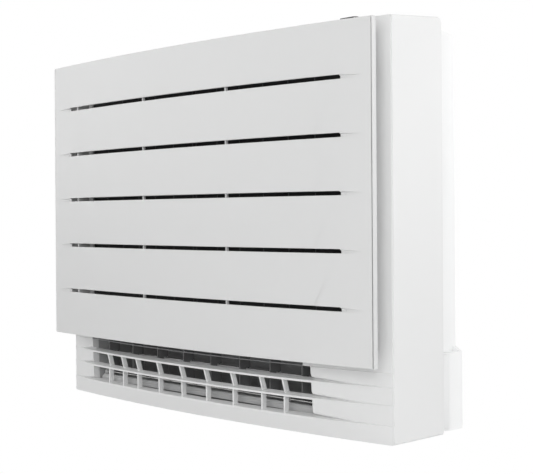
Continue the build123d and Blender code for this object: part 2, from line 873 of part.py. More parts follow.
def return_bend(x, y, z_low, z_high, side):
    """Half-ring tube that joins two coil tubes."""
    r = (z_high - z_low) / 2
    x_face = x - side * (sheet + 0.05)
    legs = bend_reach + sheet
    path = Polyline((x_face, y, z_low), (x_face + side * legs, y, z_low))
    arc = ThreePointArc(
        (x_face + side * legs, y, z_low),
        (x_face + side * (legs + r), y, (z_low + z_high) / 2),
        (x_face + side * legs, y, z_high),
    )
    back = Polyline((x_face + side * legs, y, z_high), (x_face, y, z_high))
    start = Plane(origin=(x_face, y, z_low), z_dir=(side, 0, 0))
    return sweep(start * Circle(tube_r), path=Wire([path.edge(), arc.edge(), back.edge()]))


def make_coil_return_bends():
    x0, x1, z0, z1 = coil_span()
    levels = tube_levels()
    bends = []
    for y in tube_rows():
        for number in range(0, coil_tubes - 1, 2):
            bends.append(return_bend(x0, y, levels[number], levels[number + 1], -1))
        for number in range(1, coil_tubes - 1, 2):
            bends.append(return_bend(x1, y, levels[number], levels[number + 1], 1))
    return Compound(children=bends)


# ---------------------------------------------------------------- pipes and drain
def pipe(points, radius, bend):
    route = FilletPolyline(*points, radius=bend)
    start = Plane(origin=points[0], z_dir=Vector(points[1]) - Vector(points[0]))
    return sweep(start * Circle(radius), path=route)


def pipe_route(y, x_fall, low, x_end):
    x0, x1, z0, z1 = coil_span()
    rise = tube_levels()[0]
    return [
        (x1 + rest_gap, y, rise),
        (x_fall, y, rise),
        (x_fall, y, low),
        (x_end, y, low),
        (x_end, seam_y + 20, low),
    ]


def gas_route():
    rows = tube_rows()
    return pipe_route(rows[-1], duct_x1 + wall + gas_r + 2, pipe_low + 30, duct_x1 + 60)


def liquid_route():
    rows = tube_rows()
    return pipe_route(rows[0], duct_x1 + wall + gas_r + 2, pipe_low, duct_x1 + 90)


def make_flare_nuts():
    nuts = []
    for route, radius in ((gas_route(), gas_r), (liquid_route(), liquid_r)):
        x, y, z = route[-1]
        body = rod_along_y(x, y - 18, y + 6, z, radius + 4)
        body -= rod_along_y(x, y - 19, y + 0.05, z, radius + pin_gap)
        nuts.append(body)
    return Compound(children=nuts)


def make_drain_pan():
    """Trough under the coil on feet, with the drain spigot at its left end."""
    x0, x1, z0, z1 = coil_span()
    low = duct_roof + pan_lift
    left = x0 - coil_end_right
    right = duct_x1 - 1
    y0 = coil_y0 - 8
    y1 = housing_y0 - wall - 2 * rest_gap
    pan = slab(left, right, y0, y1, low, low + pan_depth)
    pan -= slab(left + wall, right - wall, y0 + wall, y1 - wall, low + wall, low + pan_depth + 1)
    for x in (duct_x0 + 4, duct_mid, right - 16):
        pan += slab(x, x + 12, y0 + 4, y1 - 4, duct_roof + rest_gap, low + 1)
    for x in (x0 + 30, duct_mid, x1 - 30):
        pan += slab(x - 5, x + 5, y0 + 12, y1 - 4, low + 1, z0 - rest_gap)
    y = (y0 + y1) / 2
    z = low + spigot_r + 0.5
    pan += rod_along_x(left - 22, left + 1, y, z, spigot_r)
    pan -= rod_along_x(left - 23, left + 6, y, z, spigot_r - 1.5)
    return pan


# ---------------------------------------------------------------- filters
def make_air_filter(side):
    """Bowed frame with a fine net, one for each half of the intake."""
    x_in = 0.5
    x_out = intake_half + 6
    x0, x1 = (x_in, x_out) if side > 0 else (-x_out, -x_in)
    z0 = panel_foot + intake_sill - 6
    z1 = height - intake_head + 6
    front = wall + rest_gap

    def band(near, far):
        plan = bowed_face(*casing_crown(ledge_z), near, half_w - near, seam_y)
        plan -= bowed_face(*casing_crown(ledge_z), far, half_w + 5, seam_y + 5)
        return Pos(0, 0, z0) * extrude(plan, amount=z1 - z0)

    body = band(front, front + filter_thick) & slab(x0, x1, -depth, depth, 0, height)
    pocket = band(front + filter_skin, front + filter_thick + 5)
    step_x = (x1 - x0 - filter_bar) / filter_columns
    step_z = (z1 - z0 - filter_bar) / filter_rows
    cells = None
    for column in range(filter_columns):
        for row in range(filter_rows):
            cx = x0 + filter_bar + column * step_x
            cz = z0 + filter_bar + row * step_z
            cell = slab(cx, cx + step_x - filter_bar, -depth, 0, cz, cz + step_z - filter_bar)
            cells = cell if cells is None else cells + cell
    return body - (pocket & cells)


def make_deodorizing_filter(side):
    x = duct_mid + side * 120
    w, t, h = cartridge_size
    z = height - intake_head - 110
    y1 = coil_y0 - rest_gap
    body = slab(x - w / 2, x + w / 2, y1 - t, y1, z, z + h)
    for number in range(9):
        gx = x - w / 2 + w * (number + 1) / 10
        body -= slab(gx - 5, gx + 5, y1 - t - 1, y1 - t + 2, z + 5, z + h - 5)
    return body


# ---------------------------------------------------------------- flaps and vanes
def flap_axis_y():
    return throat_y1 - flap_gap - spine_r


def flap_axis_z():
    return top_z(flap_axis_y()) - spine_r


def rod_axis_y():
    return corner_y + rod_y


def sleeve_r():
    return rod_r + 2.5


def make_top_flap():
    """Lid of the upper outlet with a rounded spine and a pin at each end."""
    x0 = duct_x0 + flap_gap
    x1 = duct_x1 - flap_gap
    y0 = housing_y0 + wall + flap_gap
    skin = casing_block(0, seam_y) - casing_block(flap_thick, seam_y + 5)
    lid = skin & slab(x0, x1, y0, flap_axis_y(), height - 30, height + 5)
    spine = rod_along_x(x0, x1, flap_axis_y(), flap_axis_z(), spine_r)
    flap = lid + spine
    flap += rod_along_x(duct_x0 - flap_reach, x0, flap_axis_y(), flap_axis_z(), flap_pin_r)
    flap += rod_along_x(x1, duct_x1 + wall + flap_reach + 4, flap_axis_y(), flap_axis_z(), flap_pin_r)
    return flap


def stepper(bore_r):
    """Small geared motor: can along Z beside its bored boss, and two ears."""
    shift_x, shift_y = stepper_shift
    can = Pos(shift_x, shift_y, 3 + stepper_depth / 2) * Cylinder(stepper_r, stepper_depth)
    boss = Pos(0, 0, 3.5) * Cylinder(bore_r + 2.5, 7)
    ears = Pos(shift_x, shift_y, 3.6) * Box(2 * stepper_r + 8, 7, 1.2)
    return can + boss + ears - Pos(0, 0, 5) * Cylinder(bore_r, 14)


def make_flap_motor():
    x = duct_x1 + flap_boss + rest_gap
    place = Plane(origin=(x, flap_axis_y(), flap_axis_z()), x_dir=(0, 1, 0), z_dir=(1, 0, 0))
    body = place.location * stepper(flap_pin_r + pin_gap)
    return body & slab(0, width, -depth, seam_y - wall - rest_gap, 0, flap_axis_z() + 2.6)


def make_lower_flap_motor():
    x = duct_x1 + wall + rest_gap
    place = Plane(origin=(x, rod_axis_y(), rod_z), x_dir=(0, 1, 0), z_dir=(1, 0, 0))
    return place.location * stepper(sleeve_r() + pin_gap)


def vane_places(count):
    pitch = (duct_x1 - duct_x0) / count
    return [duct_x0 + pitch * (number + 0.5) for number in range(count)]


def vane(span, front, back, notch_low, tie_r, pin_low, pin_high):
    """Vane round local Z, chord along Y, notched for the tie bar."""
    plate = slab(-vane_thick / 2, vane_thick / 2, -front, back, 0, span)
    plate -= slab(-5, 5, tie_r - notch, back + 1, notch_low, notch_low + notch)
    plate += rod_along_z(0, tie_r, notch_low - 0.5, notch_low + notch + 0.5, tie_pin_r)
    plate += rod_along_z(0, 0, -pin_low, 0.5, vane_pin_r)
    plate += rod_along_z(0, 0, span - 0.5, span + pin_high, vane_pin_r)
    return plate


def tie_bar(places, tie_r, notch_low):
    """Strip with a slot for each vane's tie pin; slots leave room for the pin's rise."""
    low = notch_low + (notch - tie_thick) / 2
    drop = tie_r * (1 - math.cos(math.radians(swing)))
    drift = tie_r * (math.radians(swing) - math.sin(math.radians(swing)))
    half_x = tie_pin_r + drift + rest_gap
    y0 = tie_r - tie_pin_r - drop - rest_gap
    y1 = tie_r + tie_pin_r + rest_gap
    bar = slab(places[0] - 8, places[-1] + 8, y0 - 1.5, y1 + 1.5, low, low + tie_thick)
    for x in places:
        bar -= slab(x - half_x, x + half_x, y0, y1, low - 1, low + tie_thick + 1)
    return bar


def upper_plane(x):
    """Local Z runs forward from the throat's rear wall, local Y runs up."""
    y = throat_y1 - rest_gap
    return Plane(origin=(x, y, height - upper_pivot_drop), x_dir=(1, 0, 0), z_dir=(0, -1, 0))


def upper_span():
    return throat_y1 - housing_y0 - wall - 2 * rest_gap


def make_upper_vane(x):
    body = vane(
        upper_span(), upper_vane_fall, upper_vane_rise, upper_span() / 2, tie_r_upper, wall + rest_gap, wall + rest_gap
    )
    return upper_plane(x).location * body


def make_upper_tie_bar():
    places = vane_places(upper_vanes)
    return upper_plane(0).location * tie_bar(places, tie_r_upper, upper_span() / 2)


def lower_plane(x):
    return Plane(origin=(x, corner_y + lower_pivot_y, lower_vane_foot), x_dir=(1, 0, 0), z_dir=(0, 0, 1))


def lower_span():
    return duct_roof - wall - rest_gap - lower_vane_foot


def make_lower_vane(x):
    span = lower_span()
    body = vane(span, lower_vane_front, lower_vane_back, span / 2, tie_r_lower, 0, wall + rest_gap)
    return lower_plane(x).location * body


def make_lower_tie_bar():
    places = vane_places(lower_vanes)
    return lower_plane(0).location * tie_bar(places, tie_r_lower, lower_span() / 2)


def make_lower_flap():
    """Damper of the lower outlet: front lip, tail along the floor, knuckles and hook clips."""
    x0 = duct_x0 + 2
    x1 = duct_x1 - 2
    y = rod_axis_y()
    r = sleeve_r()
    lip_y = y - lip_reach
    tail_z = rod_z - tail_drop
    thick = 2.0
    plate = side_prism(
        [
            (lip_y, lip_foot),
            (lip_y + thick, lip_foot),
            (lip_y + thick, rod_z - r - 3 * thick),
            (lip_y + 3 * thick, rod_z - r - thick),
            (y, rod_z - r - thick),
            (y + tail_reach, tail_z - r - thick),
            (y + tail_reach, tail_z - r),
            (y, rod_z - r),
            (lip_y + 2 * thick, rod_z - r),
            (lip_y, rod_z - r - 2 * thick),
        ],
        x0,
        x1,
    )
    tail = rod_along_x(x0, x1, y + tail_reach, tail_z - r - thick / 2, thick)
    flap = plate + tail
    knuckles = [(x0, x0 + clip_width), (x1 - clip_width, duct_x1 + wall + stepper_depth / 2)]
    knuckles += [(x - clip_width / 2, x + clip_width / 2) for x in clip_places]
    for start, end in knuckles:
        flap += rod_along_x(start, end, y, rod_z, r)
        inner_end = min(end, x1)
        flap += slab(start, inner_end, y - r, y + r, rod_z - r - thick, rod_z)
    flap -= rod_along_x(duct_x0, duct_x1 + 40, y, rod_z, rod_r + pin_gap)
    for x in clip_places:
        # Hooks are open above the rod, at the back
        flap -= slab(x - clip_width, x + clip_width, y, y + rod_r + pin_gap, rod_z, rod_z + r + 1)
    return flap


def make_flap_rod():
    return rod_along_x(duct_x0 - wall, duct_x1 + 12, rod_axis_y(), rod_z, rod_r)


# ---------------------------------------------------------------- electrical bay
def bay_span():
    x0 = duct_x1 + box_gap
    x1 = half_w - wall - 4
    return x0, x1, corner_y + box_front, seam_y - wall - rest_gap, box_foot, height - box_head


def make_control_box():
    x0, x1, y0, y1, z0, z1 = bay_span()
    body = slab(x0, x1, y0, y1, z0, z1)
    body -= slab(x0 + sheet, x1 - sheet, y0 - 1, y1 - sheet, z0 + sheet, z1 - sheet)
    for z in (z0 + 60, z1 - 60):
        for x in (x0 + 16, x1 - 16):
            body += rod_along_y(x, y1 - sheet - 10, y1 - sheet, z, 3)
    return body


def make_control_box_cover():
    x0, x1, y0, y1, z0, z1 = bay_span()
    y = y0 - rest_gap
    cover = slab(x0, x1, y - sheet, y, z0 + terminal_height + 20, z1)
    for number in range(5):
        z = z1 - 30 - 12 * number
        cover -= slab(x0 + 20, x1 - 20, y - 5, y + 5, z, z + 4)
    return cover


def make_main_board():
    x0, x1, y0, y1, z0, z1 = bay_span()
    y = y1 - sheet - 10 - rest_gap
    return slab(x0 + 6, x1 - 6, y - board_thick, y, z0 + 48, z1 - 12)


def make_board_parts():
    x0, x1, y0, y1, z0, z1 = bay_span()
    y = y1 - sheet - 10 - rest_gap - board_thick - 0.05
    parts = []
    for number in range(2):
        parts.append(rod_along_y(x0 + 26, y - 30, y, z0 + 120 + 34 * number, 11))
    sink = slab(x1 - 44, x1 - 14, y - 24, y, z1 - 120, z1 - 60)
    for number in range(4):
        x = x1 - 44 + 6 * (number + 0.75)
        sink -= slab(x, x + 3, y - 25, y - 4, z1 - 121, z1 - 59)
    parts.append(sink)
    parts.append(slab(x0 + 16, x0 + 44, y - 18, y, z1 - 70, z1 - 34))
    parts.append(slab(x1 - 40, x1 - 16, y - 12, y, z0 + 70, z0 + 82))
    return Compound(children=parts)


def make_terminal_block():
    x0, x1, y0, y1, z0, z1 = bay_span()
    z = z0 + sheet + rest_gap
    block = slab(x0 + 14, x1 - 14, y0 + 6, y0 + 26, z, z + terminal_height)
    pitch = (x1 - x0 - 28) / 4
    for number in range(4):
        x = x0 + 14 + pitch * (number + 0.5)
        block -= slab(x - pitch / 2 + 1.5, x + pitch / 2 - 1.5, y0 + 5, y0 + 12, z + 5, z + terminal_height + 1)
    return block


def make_terminal_screws():
    x0, x1, y0, y1, z0, z1 = bay_span()
    z = z0 + sheet + rest_gap + terminal_height * 0.6
    pitch = (x1 - x0 - 28) / 4
    screws = []
    for number in range(4):
        x = x0 + 14 + pitch * (number + 0.5)
        head = rod_along_y(x, y0 + 8.95, y0 + 11.95, z, 3.5)
        head -= slab(x - 5, x + 5, y0 + 8, y0 + 10, z - 0.5, z + 0.5)
        screws.append(head)
    return Compound(children=screws)


# ---------------------------------------------------------------- display and button
def display_block(grow, top):
    x = half_w - display_place
    y = corner_y - display_back
    face = Pos(x, y, 0) * SlotOverall(display_width + 2 * grow, display_depth + 2 * grow)
    low = top_z(y) - display_sink
    return Pos(0, 0, low) * extrude(face, amount=top - low)


def make_display_window():
    return display_block(0, top_z(corner_y - display_back) + display_proud)


def button_spot():
    return half_w - display_place + button_pitch, corner_y - display_back + button_back


def button_block(r, top):
    x, y = button_spot()
    return rod_along_z(x, y, top_z(y) - button_sink, top, r)


def make_on_off_button():
    x, y = button_spot()
    body = button_block(button_r, top_z(y) + button_proud)
    low = top_z(y) - button_sink
    return body + rod_along_z(x, y, low, low + 2, button_r + 1.2)


def make_display_board():
    x = half_w - display_place
    y = corner_y - display_back
    z1 = top_z(y) - display_sink - rest_gap
    board = slab(x - 24, x + 36, y - 4, y + 18, z1 - board_thick - 3, z1 - 3)
    board += slab(x - 12, x + 12, y - 3, y + 3, z1 - 4, z1)
    return board & casing_block(wall + rest_gap, seam_y)


def make_coil_thermistor():
    """Sensor in a copper pocket on the coil's front, low on the right."""
    x0, x1, z0, z1 = coil_span()
    pocket = rod_along_z(x1 - 30, coil_y0 - 2.5 - rest_gap, z0 + 20, z0 + 50, 2.5)
    return pocket + slab(x1 - 34, x1 - 26, coil_y0 - 1.5, coil_y0 - rest_gap, z0 + 30, z0 + 40)


# ---------------------------------------------------------------- fasteners
def make_casing_screws():
    """Pan-head screws that hold the front casing, behind the panel's lower edge."""
    screws = []
    z = panel_foot + screw_rise
    r = screw_head_r
    for x in screw_places:
        y = casing_y(x, z)
        front = y - screw_head_depth
        head = rod_along_y(x, front, y + 1, z, r)
        head -= slab(x - r + 1, x + r - 1, front - 1, front + 0.8, z - 0.5, z + 0.5)
        head -= casing_block(-0.05, seam_y)
        screws.append(head)
    return Compound(children=screws)


# ---------------------------------------------------------------- output
def write(name, body):
    body.label = name
    export_step(body, "parts/" + name + ".step")


def main():
    os.makedirs("parts", exist_ok=True)
    write("front_panel", make_front_panel())
    write("front_casing", make_front_casing())
    write("hinge_ears", make_hinge_ears())
    write("panel_catches", make_panel_catches())
    write("outlet_grille", make_outlet_grille())
    write("rear_frame", make_rear_frame())
    write("duct_housing", make_duct_housing())
    write("bell_mouth", make_bell_mouth())
    write("turbo_fan", make_turbo_fan())
    write("motor_shaft", make_motor_shaft())
    write("fan_nut", make_fan_nut())
    write("fan_motor", make_fan_motor())
    write("motor_bracket", make_motor_bracket())
    write("coil_fin_block", make_coil_fin_block())
    write("coil_end_plates", make_coil_end_plates())
    write("coil_return_bends", make_coil_return_bends())
    write("coil_thermistor", make_coil_thermistor())
    write("gas_pipe", pipe(gas_route(), gas_r, 18))
    write("liquid_pipe", pipe(liquid_route(), liquid_r, 12))
    write("flare_nuts", make_flare_nuts())
    write("drain_pan", make_drain_pan())
    write("air_filter_left", make_air_filter(-1))
    write("air_filter_right", make_air_filter(1))
    write("deodorizing_filter_left", make_deodorizing_filter(-1))
    write("deodorizing_filter_right", make_deodorizing_filter(1))
    write("top_flap", make_top_flap())
    write("flap_motor", make_flap_motor())
    for number, x in enumerate(vane_places(upper_vanes), start=1):
        write("upper_vane_" + str(number), make_upper_vane(x))
    write("upper_tie_bar", make_upper_tie_bar())
    for number, x in enumerate(vane_places(lower_vanes), start=1):
        write("lower_vane_" + str(number), make_lower_vane(x))
    write("lower_tie_bar", make_lower_tie_bar())
    write("lower_flap", make_lower_flap())
    write("flap_rod", make_flap_rod())
    write("lower_flap_motor", make_lower_flap_motor())
    write("control_box", make_control_box())
    write("control_box_cover", make_control_box_cover())
    write("main_board", make_main_board())
    write("board_parts", make_board_parts())
    write("terminal_block", make_terminal_block())
    write("terminal_screws", make_terminal_screws())
    write("display_window", make_display_window())
    write("on_off_button", make_on_off_button())
    write("display_board", make_display_board())
    write("casing_screws", make_casing_screws())


main()
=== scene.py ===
"""Dresses the floor standing air conditioner: finishes, rounded edges, fine detail, light and camera."""

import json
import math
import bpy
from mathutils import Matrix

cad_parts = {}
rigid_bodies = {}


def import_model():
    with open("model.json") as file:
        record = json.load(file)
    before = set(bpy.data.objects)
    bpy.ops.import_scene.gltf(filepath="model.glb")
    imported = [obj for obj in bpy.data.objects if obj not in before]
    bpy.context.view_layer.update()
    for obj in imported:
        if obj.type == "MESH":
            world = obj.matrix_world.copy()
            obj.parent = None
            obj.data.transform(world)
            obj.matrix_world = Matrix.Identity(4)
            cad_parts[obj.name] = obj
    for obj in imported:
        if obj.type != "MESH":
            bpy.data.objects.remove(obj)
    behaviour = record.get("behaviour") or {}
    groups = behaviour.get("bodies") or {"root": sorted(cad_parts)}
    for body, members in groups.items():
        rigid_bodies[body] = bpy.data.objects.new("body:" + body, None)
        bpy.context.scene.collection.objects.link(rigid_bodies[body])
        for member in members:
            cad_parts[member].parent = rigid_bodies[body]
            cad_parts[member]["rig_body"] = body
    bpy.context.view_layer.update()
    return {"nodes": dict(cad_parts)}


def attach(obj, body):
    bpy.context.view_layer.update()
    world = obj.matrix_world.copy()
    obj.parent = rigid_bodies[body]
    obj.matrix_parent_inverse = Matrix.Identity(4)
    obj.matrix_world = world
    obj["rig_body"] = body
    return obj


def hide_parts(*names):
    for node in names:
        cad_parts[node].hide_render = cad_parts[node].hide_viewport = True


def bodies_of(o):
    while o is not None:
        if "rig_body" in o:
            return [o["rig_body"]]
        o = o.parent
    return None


bl_info = {
    "name": "Floor Standing Air Conditioner",
    "version": (1, 0, 0),
    "blender": (4, 5, 0),
    "location": "View3D > Sidebar > Air Conditioner",
    "description": "Finishes and fine detail for a floor standing air conditioner with two outlets",
    "category": "Object",
}

import bpy
from bpy.props import FloatProperty, FloatVectorProperty, PointerProperty
from mathutils import Vector

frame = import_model()

# Lengths and places are in metres, in the frame's own axes.

# The bowed front panel and its air slots
HALF_WIDTH = 0.375
PANEL_CROWN_Y = -0.119
PANEL_BULGE = 0.022
PANEL_SIDE_Y = -0.097
PANEL_FOOT_Z = 0.109
PANEL_TOP_Z = 0.585
SLOT_COUNT = 5
SLOT_LOWEST_Z = 0.187
SLOT_PITCH = 0.08
SLOT_LEVELS = tuple(SLOT_LOWEST_Z + SLOT_PITCH * number for number in range(SLOT_COUNT))
SLOT_HALF = 0.321
SLOT_RISE = 0.003
SLOT_END = 0.004

# The bowed casing, its ledge, the lower outlet and the vanes of both outlets
CORNER_Y = -0.055
CORNER_MARGIN = 0.005
CASING_BULGE = 0.0355
CASING_CROWN_Y = CORNER_Y - CASING_BULGE
LEDGE_Z = 0.099
DUCT_X = (-0.306, 0.238)
LOWER_VANES = 8
UPPER_VANES = 6

# The rear frame, the block at its foot and the plates that close the block
FRAME_X = 0.3516
BLOCK_X = 0.3636
BLOCK_INNER_X = 0.3611
BLOCK_Y = 0.07
BLOCK_TOP_Z = 0.114
BLOCK_WALL = 0.0025
COVER_DEPTH = 0.0008
COVER_WALL = 0.0012
COVER_ROUND = 0.0003

# The intake and the ribs of its air filters
INTAKE_X = 0.3
INTAKE_Z = (0.139, 0.562)
FILTER_DEPTH = 0.0030
RIB_CELLS = (6, 8)
RIB_WIDTH = 0.0022
RIB_MARGIN = 0.004

# Thin trim: the roof lip, the ledge beads and the stops at the slots' ends
STRIP_SIDES = 720
STRIP_WALL = 0.002
STRIP_ROUND = STRIP_WALL * 0.3
LIP_X = (-0.3055, 0.2245)
LIP_Z = (0.0988, 0.1004)
BEAD_X = {"ledge_bead_right": (0.2385, 0.3745), "ledge_bead_left": (-0.3745, -0.3065)}
BEAD_Z = (LEDGE_Z - 0.0012, LEDGE_Z + 0.0002)
STOP_SIZE = (0.0042, 0.0026, 0.0062)
STOP_ROUND = 0.0004
STOP_DEPTH = 0.0040

# How near a point lies to where it is looked for, and the shortest edge that counts there
CLOSE = 0.0002
SKIN = 0.0004
SHORTEST_EDGE = 0.004

# The least gap between points, the angles at which faces join, bevel and shade, and a line's profile
WELD = 0.00001
FLAT_ANGLE = math.radians(0.05)
SHARP_ANGLE = math.radians(30.0)
SHELL_ANGLE = math.radians(35.0)
LINE_PROFILE = 0.05

# The camera, with its turn in radians and its lens in millimetres
CAMERA_PLACE = (1.36667, -1.26673, 0.31609)
CAMERA_TURN = (math.radians(90.0), 0.0065, 0.7961)
CAMERA_LENS = 76.855
CAMERA_SENSOR = 36.0
CAMERA_SHIFT = -0.0394
CAMERA_REACH = 60.0

# Each broad lamp's place and size; its power is a setting
LAMPS = {
    "left": ((-2.6, -1.6, 1.2), (2.4, 1.8)),
    "front": ((1.9, -2.4, 1.3), (2.2, 1.8)),
    "rear": ((2.5, 2.5, 1.4), (3.0, 2.6)),
    "low": ((1.8, -2.4, 0.3), (2.0, 0.5)),
    "top": ((0.2, -0.7, 3.0), (2.6, 2.2)),
}
LAMP_TARGET = (0.0, 0.0, 0.3)

# The floor and the plain background
FLOOR_CELLS = 4
FLOOR_GREY = (0.9, 0.9, 0.9, 1.0)
WHITE = (1.0, 1.0, 1.0, 1.0)

# Rays that see the floor and the room as plain white
WHITE_RAYS = ("Is Camera Ray", "Is Glossy Ray", "Is Transmission Ray")

# The Mix node's own numbers for its factor and two colours, and for its colour result
MIX_SOCKETS = (0, 6, 7)
MIX_RESULT = 2


# ---------------------------------------------------------------- shader maths


class Signal:
    """A shader socket whose arithmetic adds Math nodes to its tree."""

    def __init__(self, shader, socket):
        self.shader = shader
        self.socket = socket

    def math(self, operation, *terms):
        values = dict(enumerate(terms))
        return self.shader.add("ShaderNodeMath", {"operation": operation}, values)

    def __add__(self, other):
        return self.math("ADD", self, other)

    def __radd__(self, other):
        return self.math("ADD", other, self)

    def __sub__(self, other):
        return self.math("SUBTRACT", self, other)

    def __rsub__(self, other):
        return self.math("SUBTRACT", other, self)

    def __mul__(self, other):
        return self.math("MULTIPLY", self, other)

    def __rmul__(self, other):
        return self.math("MULTIPLY", other, self)

    def highest(self, other):
        """The larger of two signals at each point."""
        return self.math("MAXIMUM", self, other)

    def wave(self, period):
        """A triangle wave from 0 to 1 and back over each period."""
        return self.math("PINGPONG", self * (2.0 / period), 1.0)

    def ramp(self, low, high):
        """Runs smoothly from 0 at low to 1 at high."""
        settings = {"interpolation_type": "SMOOTHSTEP"}
        values = {"Value": self, "From Min": low, "From Max": high}
        return self.shader.add("ShaderNodeMapRange", settings, values)


class Shader:
    """A node tree that is cleared, given its output and then filled by one method."""

    def __init__(self, tree, output):
        self.tree = tree
        self.tree.nodes.clear()
        self.output = self.tree.nodes.new(output)

    def add(self, kind, settings=None, values=None, out=0):
        """Adds a node, makes its settings, then fills its sockets with values or links."""
        node = self.tree.nodes.new(kind)
        for key, value in (settings or {}).items():
            setattr(node, key, value)
        for key, value in (values or {}).items():
            if isinstance(value, Signal):
                self.tree.links.new(value.socket, node.inputs[key])
            else:
                node.inputs[key].default_value = value
        return Signal(self, node.outputs[out])

    def show(self, shader):
        """Joins a shader to the tree's output."""
        self.tree.links.new(shader.socket, self.output.inputs["Surface"])

    def white_rays(self):
        """1 for a ray that sees the floor and the room as plain white."""
        camera, glossy, clear = (self.add("ShaderNodeLightPath", out=ray) for ray in WHITE_RAYS)
        return camera.highest(glossy).highest(clear)


class Finish(Shader):
    """The node tree of one material."""

    def __init__(self, name):
        self.material = bpy.data.materials.new(name)
        self.material.use_nodes = True
        super().__init__(self.material.node_tree, "ShaderNodeOutputMaterial")

    def place(self):
        return self.add("ShaderNodeTexCoord", out="Object")

    def along(self, axis):
        """The Object coordinate along X, Y or Z, in metres."""
        return self.add("ShaderNodeSeparateXYZ", None, {0: self.place()}, axis)

    def noise(self, scale, detail=2.0, stretch=None):
        vector = self.place()
        if stretch:
            vector = self.add("ShaderNodeMapping", None, {"Vector": vector, "Scale": stretch})
        values = {"Vector": vector, "Scale": scale, "Detail": detail}
        return self.add("ShaderNodeTexNoise", None, values)

    def blend(self, factor, first, second):
        """A colour that goes from first to second."""
        values = dict(zip(MIX_SOCKETS, (factor, first, second)))
        return self.add("ShaderNodeMix", {"data_type": "RGBA"}, values, MIX_RESULT)

    def bump(self, height, strength, depth, under=None):
        values = {"Height": height, "Strength": strength, "Distance": depth}
        if under:
            values["Normal"] = under
        return self.add("ShaderNodeBump", None, values)

    def finish(self, **sockets):
        """Joins a Principled shader with these sockets to the material's output."""
        values = {key.replace("_", " "): value for key, value in sockets.items()}
        self.show(self.add("ShaderNodeBsdfPrincipled", None, values))
        return self.material


def shade(colour, factor):
    """A colour made lighter or darker, with an alpha of 1."""
    return tuple(min(1.0, part * factor) for part in colour[:3]) + (1.0,)


# ---------------------------------------------------------------- finishes


def moulded_plastic(name, colour, roughness, grain, mottle):
    """Injection moulded plastic: spark grain, faint mottling and a soft sheen."""
    shader = Finish(name)
    cloud = shader.noise(scale=5.0, detail=3.0)
    speck = shader.noise(scale=900.0)
    drift = shader.noise(scale=28.0, stretch=(1.0, 1.0, 0.35))
    tone = cloud * 0.7 + speck * 0.3
    base = shader.blend(tone, shade(colour, 1.0 - mottle), shade(colour, 1.0 + mottle))
    gloss = roughness - 0.05 + drift * 0.1
    fine = shader.noise(scale=1600.0, detail=1.0)
    wide = shader.noise(scale=14.0, detail=1.0)
    ripple = shader.bump(wide, strength=0.06, depth=0.0006)
    skin = shader.bump(fine, strength=grain, depth=0.00025, under=ripple)
    return shader.finish(Base_Color=base, Roughness=gloss, Normal=skin, Specular_IOR_Level=0.45)


def brushed_metal(name, colour, roughness, stretch):
    """Drawn or brushed metal with a grain that runs one way."""
    shader = Finish(name)
    grain = shader.noise(scale=260.0, detail=3.0, stretch=stretch)
    cloud = shader.noise(scale=22.0, detail=3.0)
    base = shader.blend(grain * 0.6 + cloud * 0.4, shade(colour, 0.9), shade(colour, 1.1))
    gloss = roughness - 0.08 + cloud * 0.16
    skin = shader.bump(grain, strength=0.12, depth=0.0002)
    return shader.finish(Base_Color=base, Metallic=1.0, Roughness=gloss, Normal=skin)


def spangled_steel(name, colour):
    """Hot dip galvanised sheet: crystal flakes of differing brightness."""
    shader = Finish(name)
    cells = {"Vector": shader.place(), "Scale": 170.0}
    flakes = shader.add("ShaderNodeTexVoronoi", None, cells, "Color")
    value = shader.add("ShaderNodeSeparateColor", None, {0: flakes})
    grain = shader.noise(scale=700.0)
    base = shader.blend(value * 0.7 + grain * 0.3, shade(colour, 0.8), shade(colour, 1.15))
    gloss = 0.3 + value * 0.22
    skin = shader.bump(grain, strength=0.08, depth=0.0002)
    return shader.finish(Base_Color=base, Metallic=1.0, Roughness=gloss, Normal=skin)


def aged_copper(name, colour):
    """Drawn copper tube with faint brown patches of tarnish."""
    tarnish = (0.32, 0.13, 0.07, 1.0)
    shader = Finish(name)
    cloud = shader.noise(scale=60.0, detail=4.0)
    patch = cloud.ramp(0.48, 0.72)
    base = shader.blend(patch, shade(colour, 1.0), tarnish)
    streak = shader.noise(scale=420.0, stretch=(1.0, 0.2, 1.0))
    gloss = 0.22 + patch * 0.2 + streak * 0.06
    skin = shader.bump(streak, strength=0.08, depth=0.0002)
    return shader.finish(Base_Color=base, Metallic=1.0, Roughness=gloss, Normal=skin)


def foam(name, colour):
    """Expanded polystyrene: packed beads a few millimetres across, with painted shade in the crevices
    between them.
    """
    shader = Finish(name)
    beads = shader.add("ShaderNodeTexVoronoi", None, {"Vector": shader.place(), "Scale": 330.0})
    edge = beads.ramp(0.3, 0.75)
    speck = shader.noise(scale=1500.0)
    # Painted shade: the colour darkens towards each bead's edge, where the crevices lie.
    base = shader.blend(edge * 0.8 + speck * 0.2, shade(colour, 1.03), shade(colour, 0.84))
    skin = shader.bump(1.0 - edge, strength=0.5, depth=0.0004)
    return shader.finish(Base_Color=base, Roughness=0.8 + speck * 0.15, Normal=skin)


def net(name, colour):
    """Woven filter net: round threads crossing about every millimetre."""
    spacing = 0.0011
    shader = Finish(name)
    thread = shader.along("X").wave(spacing).highest(shader.along("Z").wave(spacing))
    fibre = shader.noise(scale=1800.0)
    base = shader.blend(thread.ramp(0.45, 0.9), shade(colour, 0.45), shade(colour, 1.5))
    skin = shader.bump(thread, strength=0.6, depth=0.0004)
    return shader.finish(Base_Color=base, Roughness=0.6 + fibre * 0.3, Normal=skin)


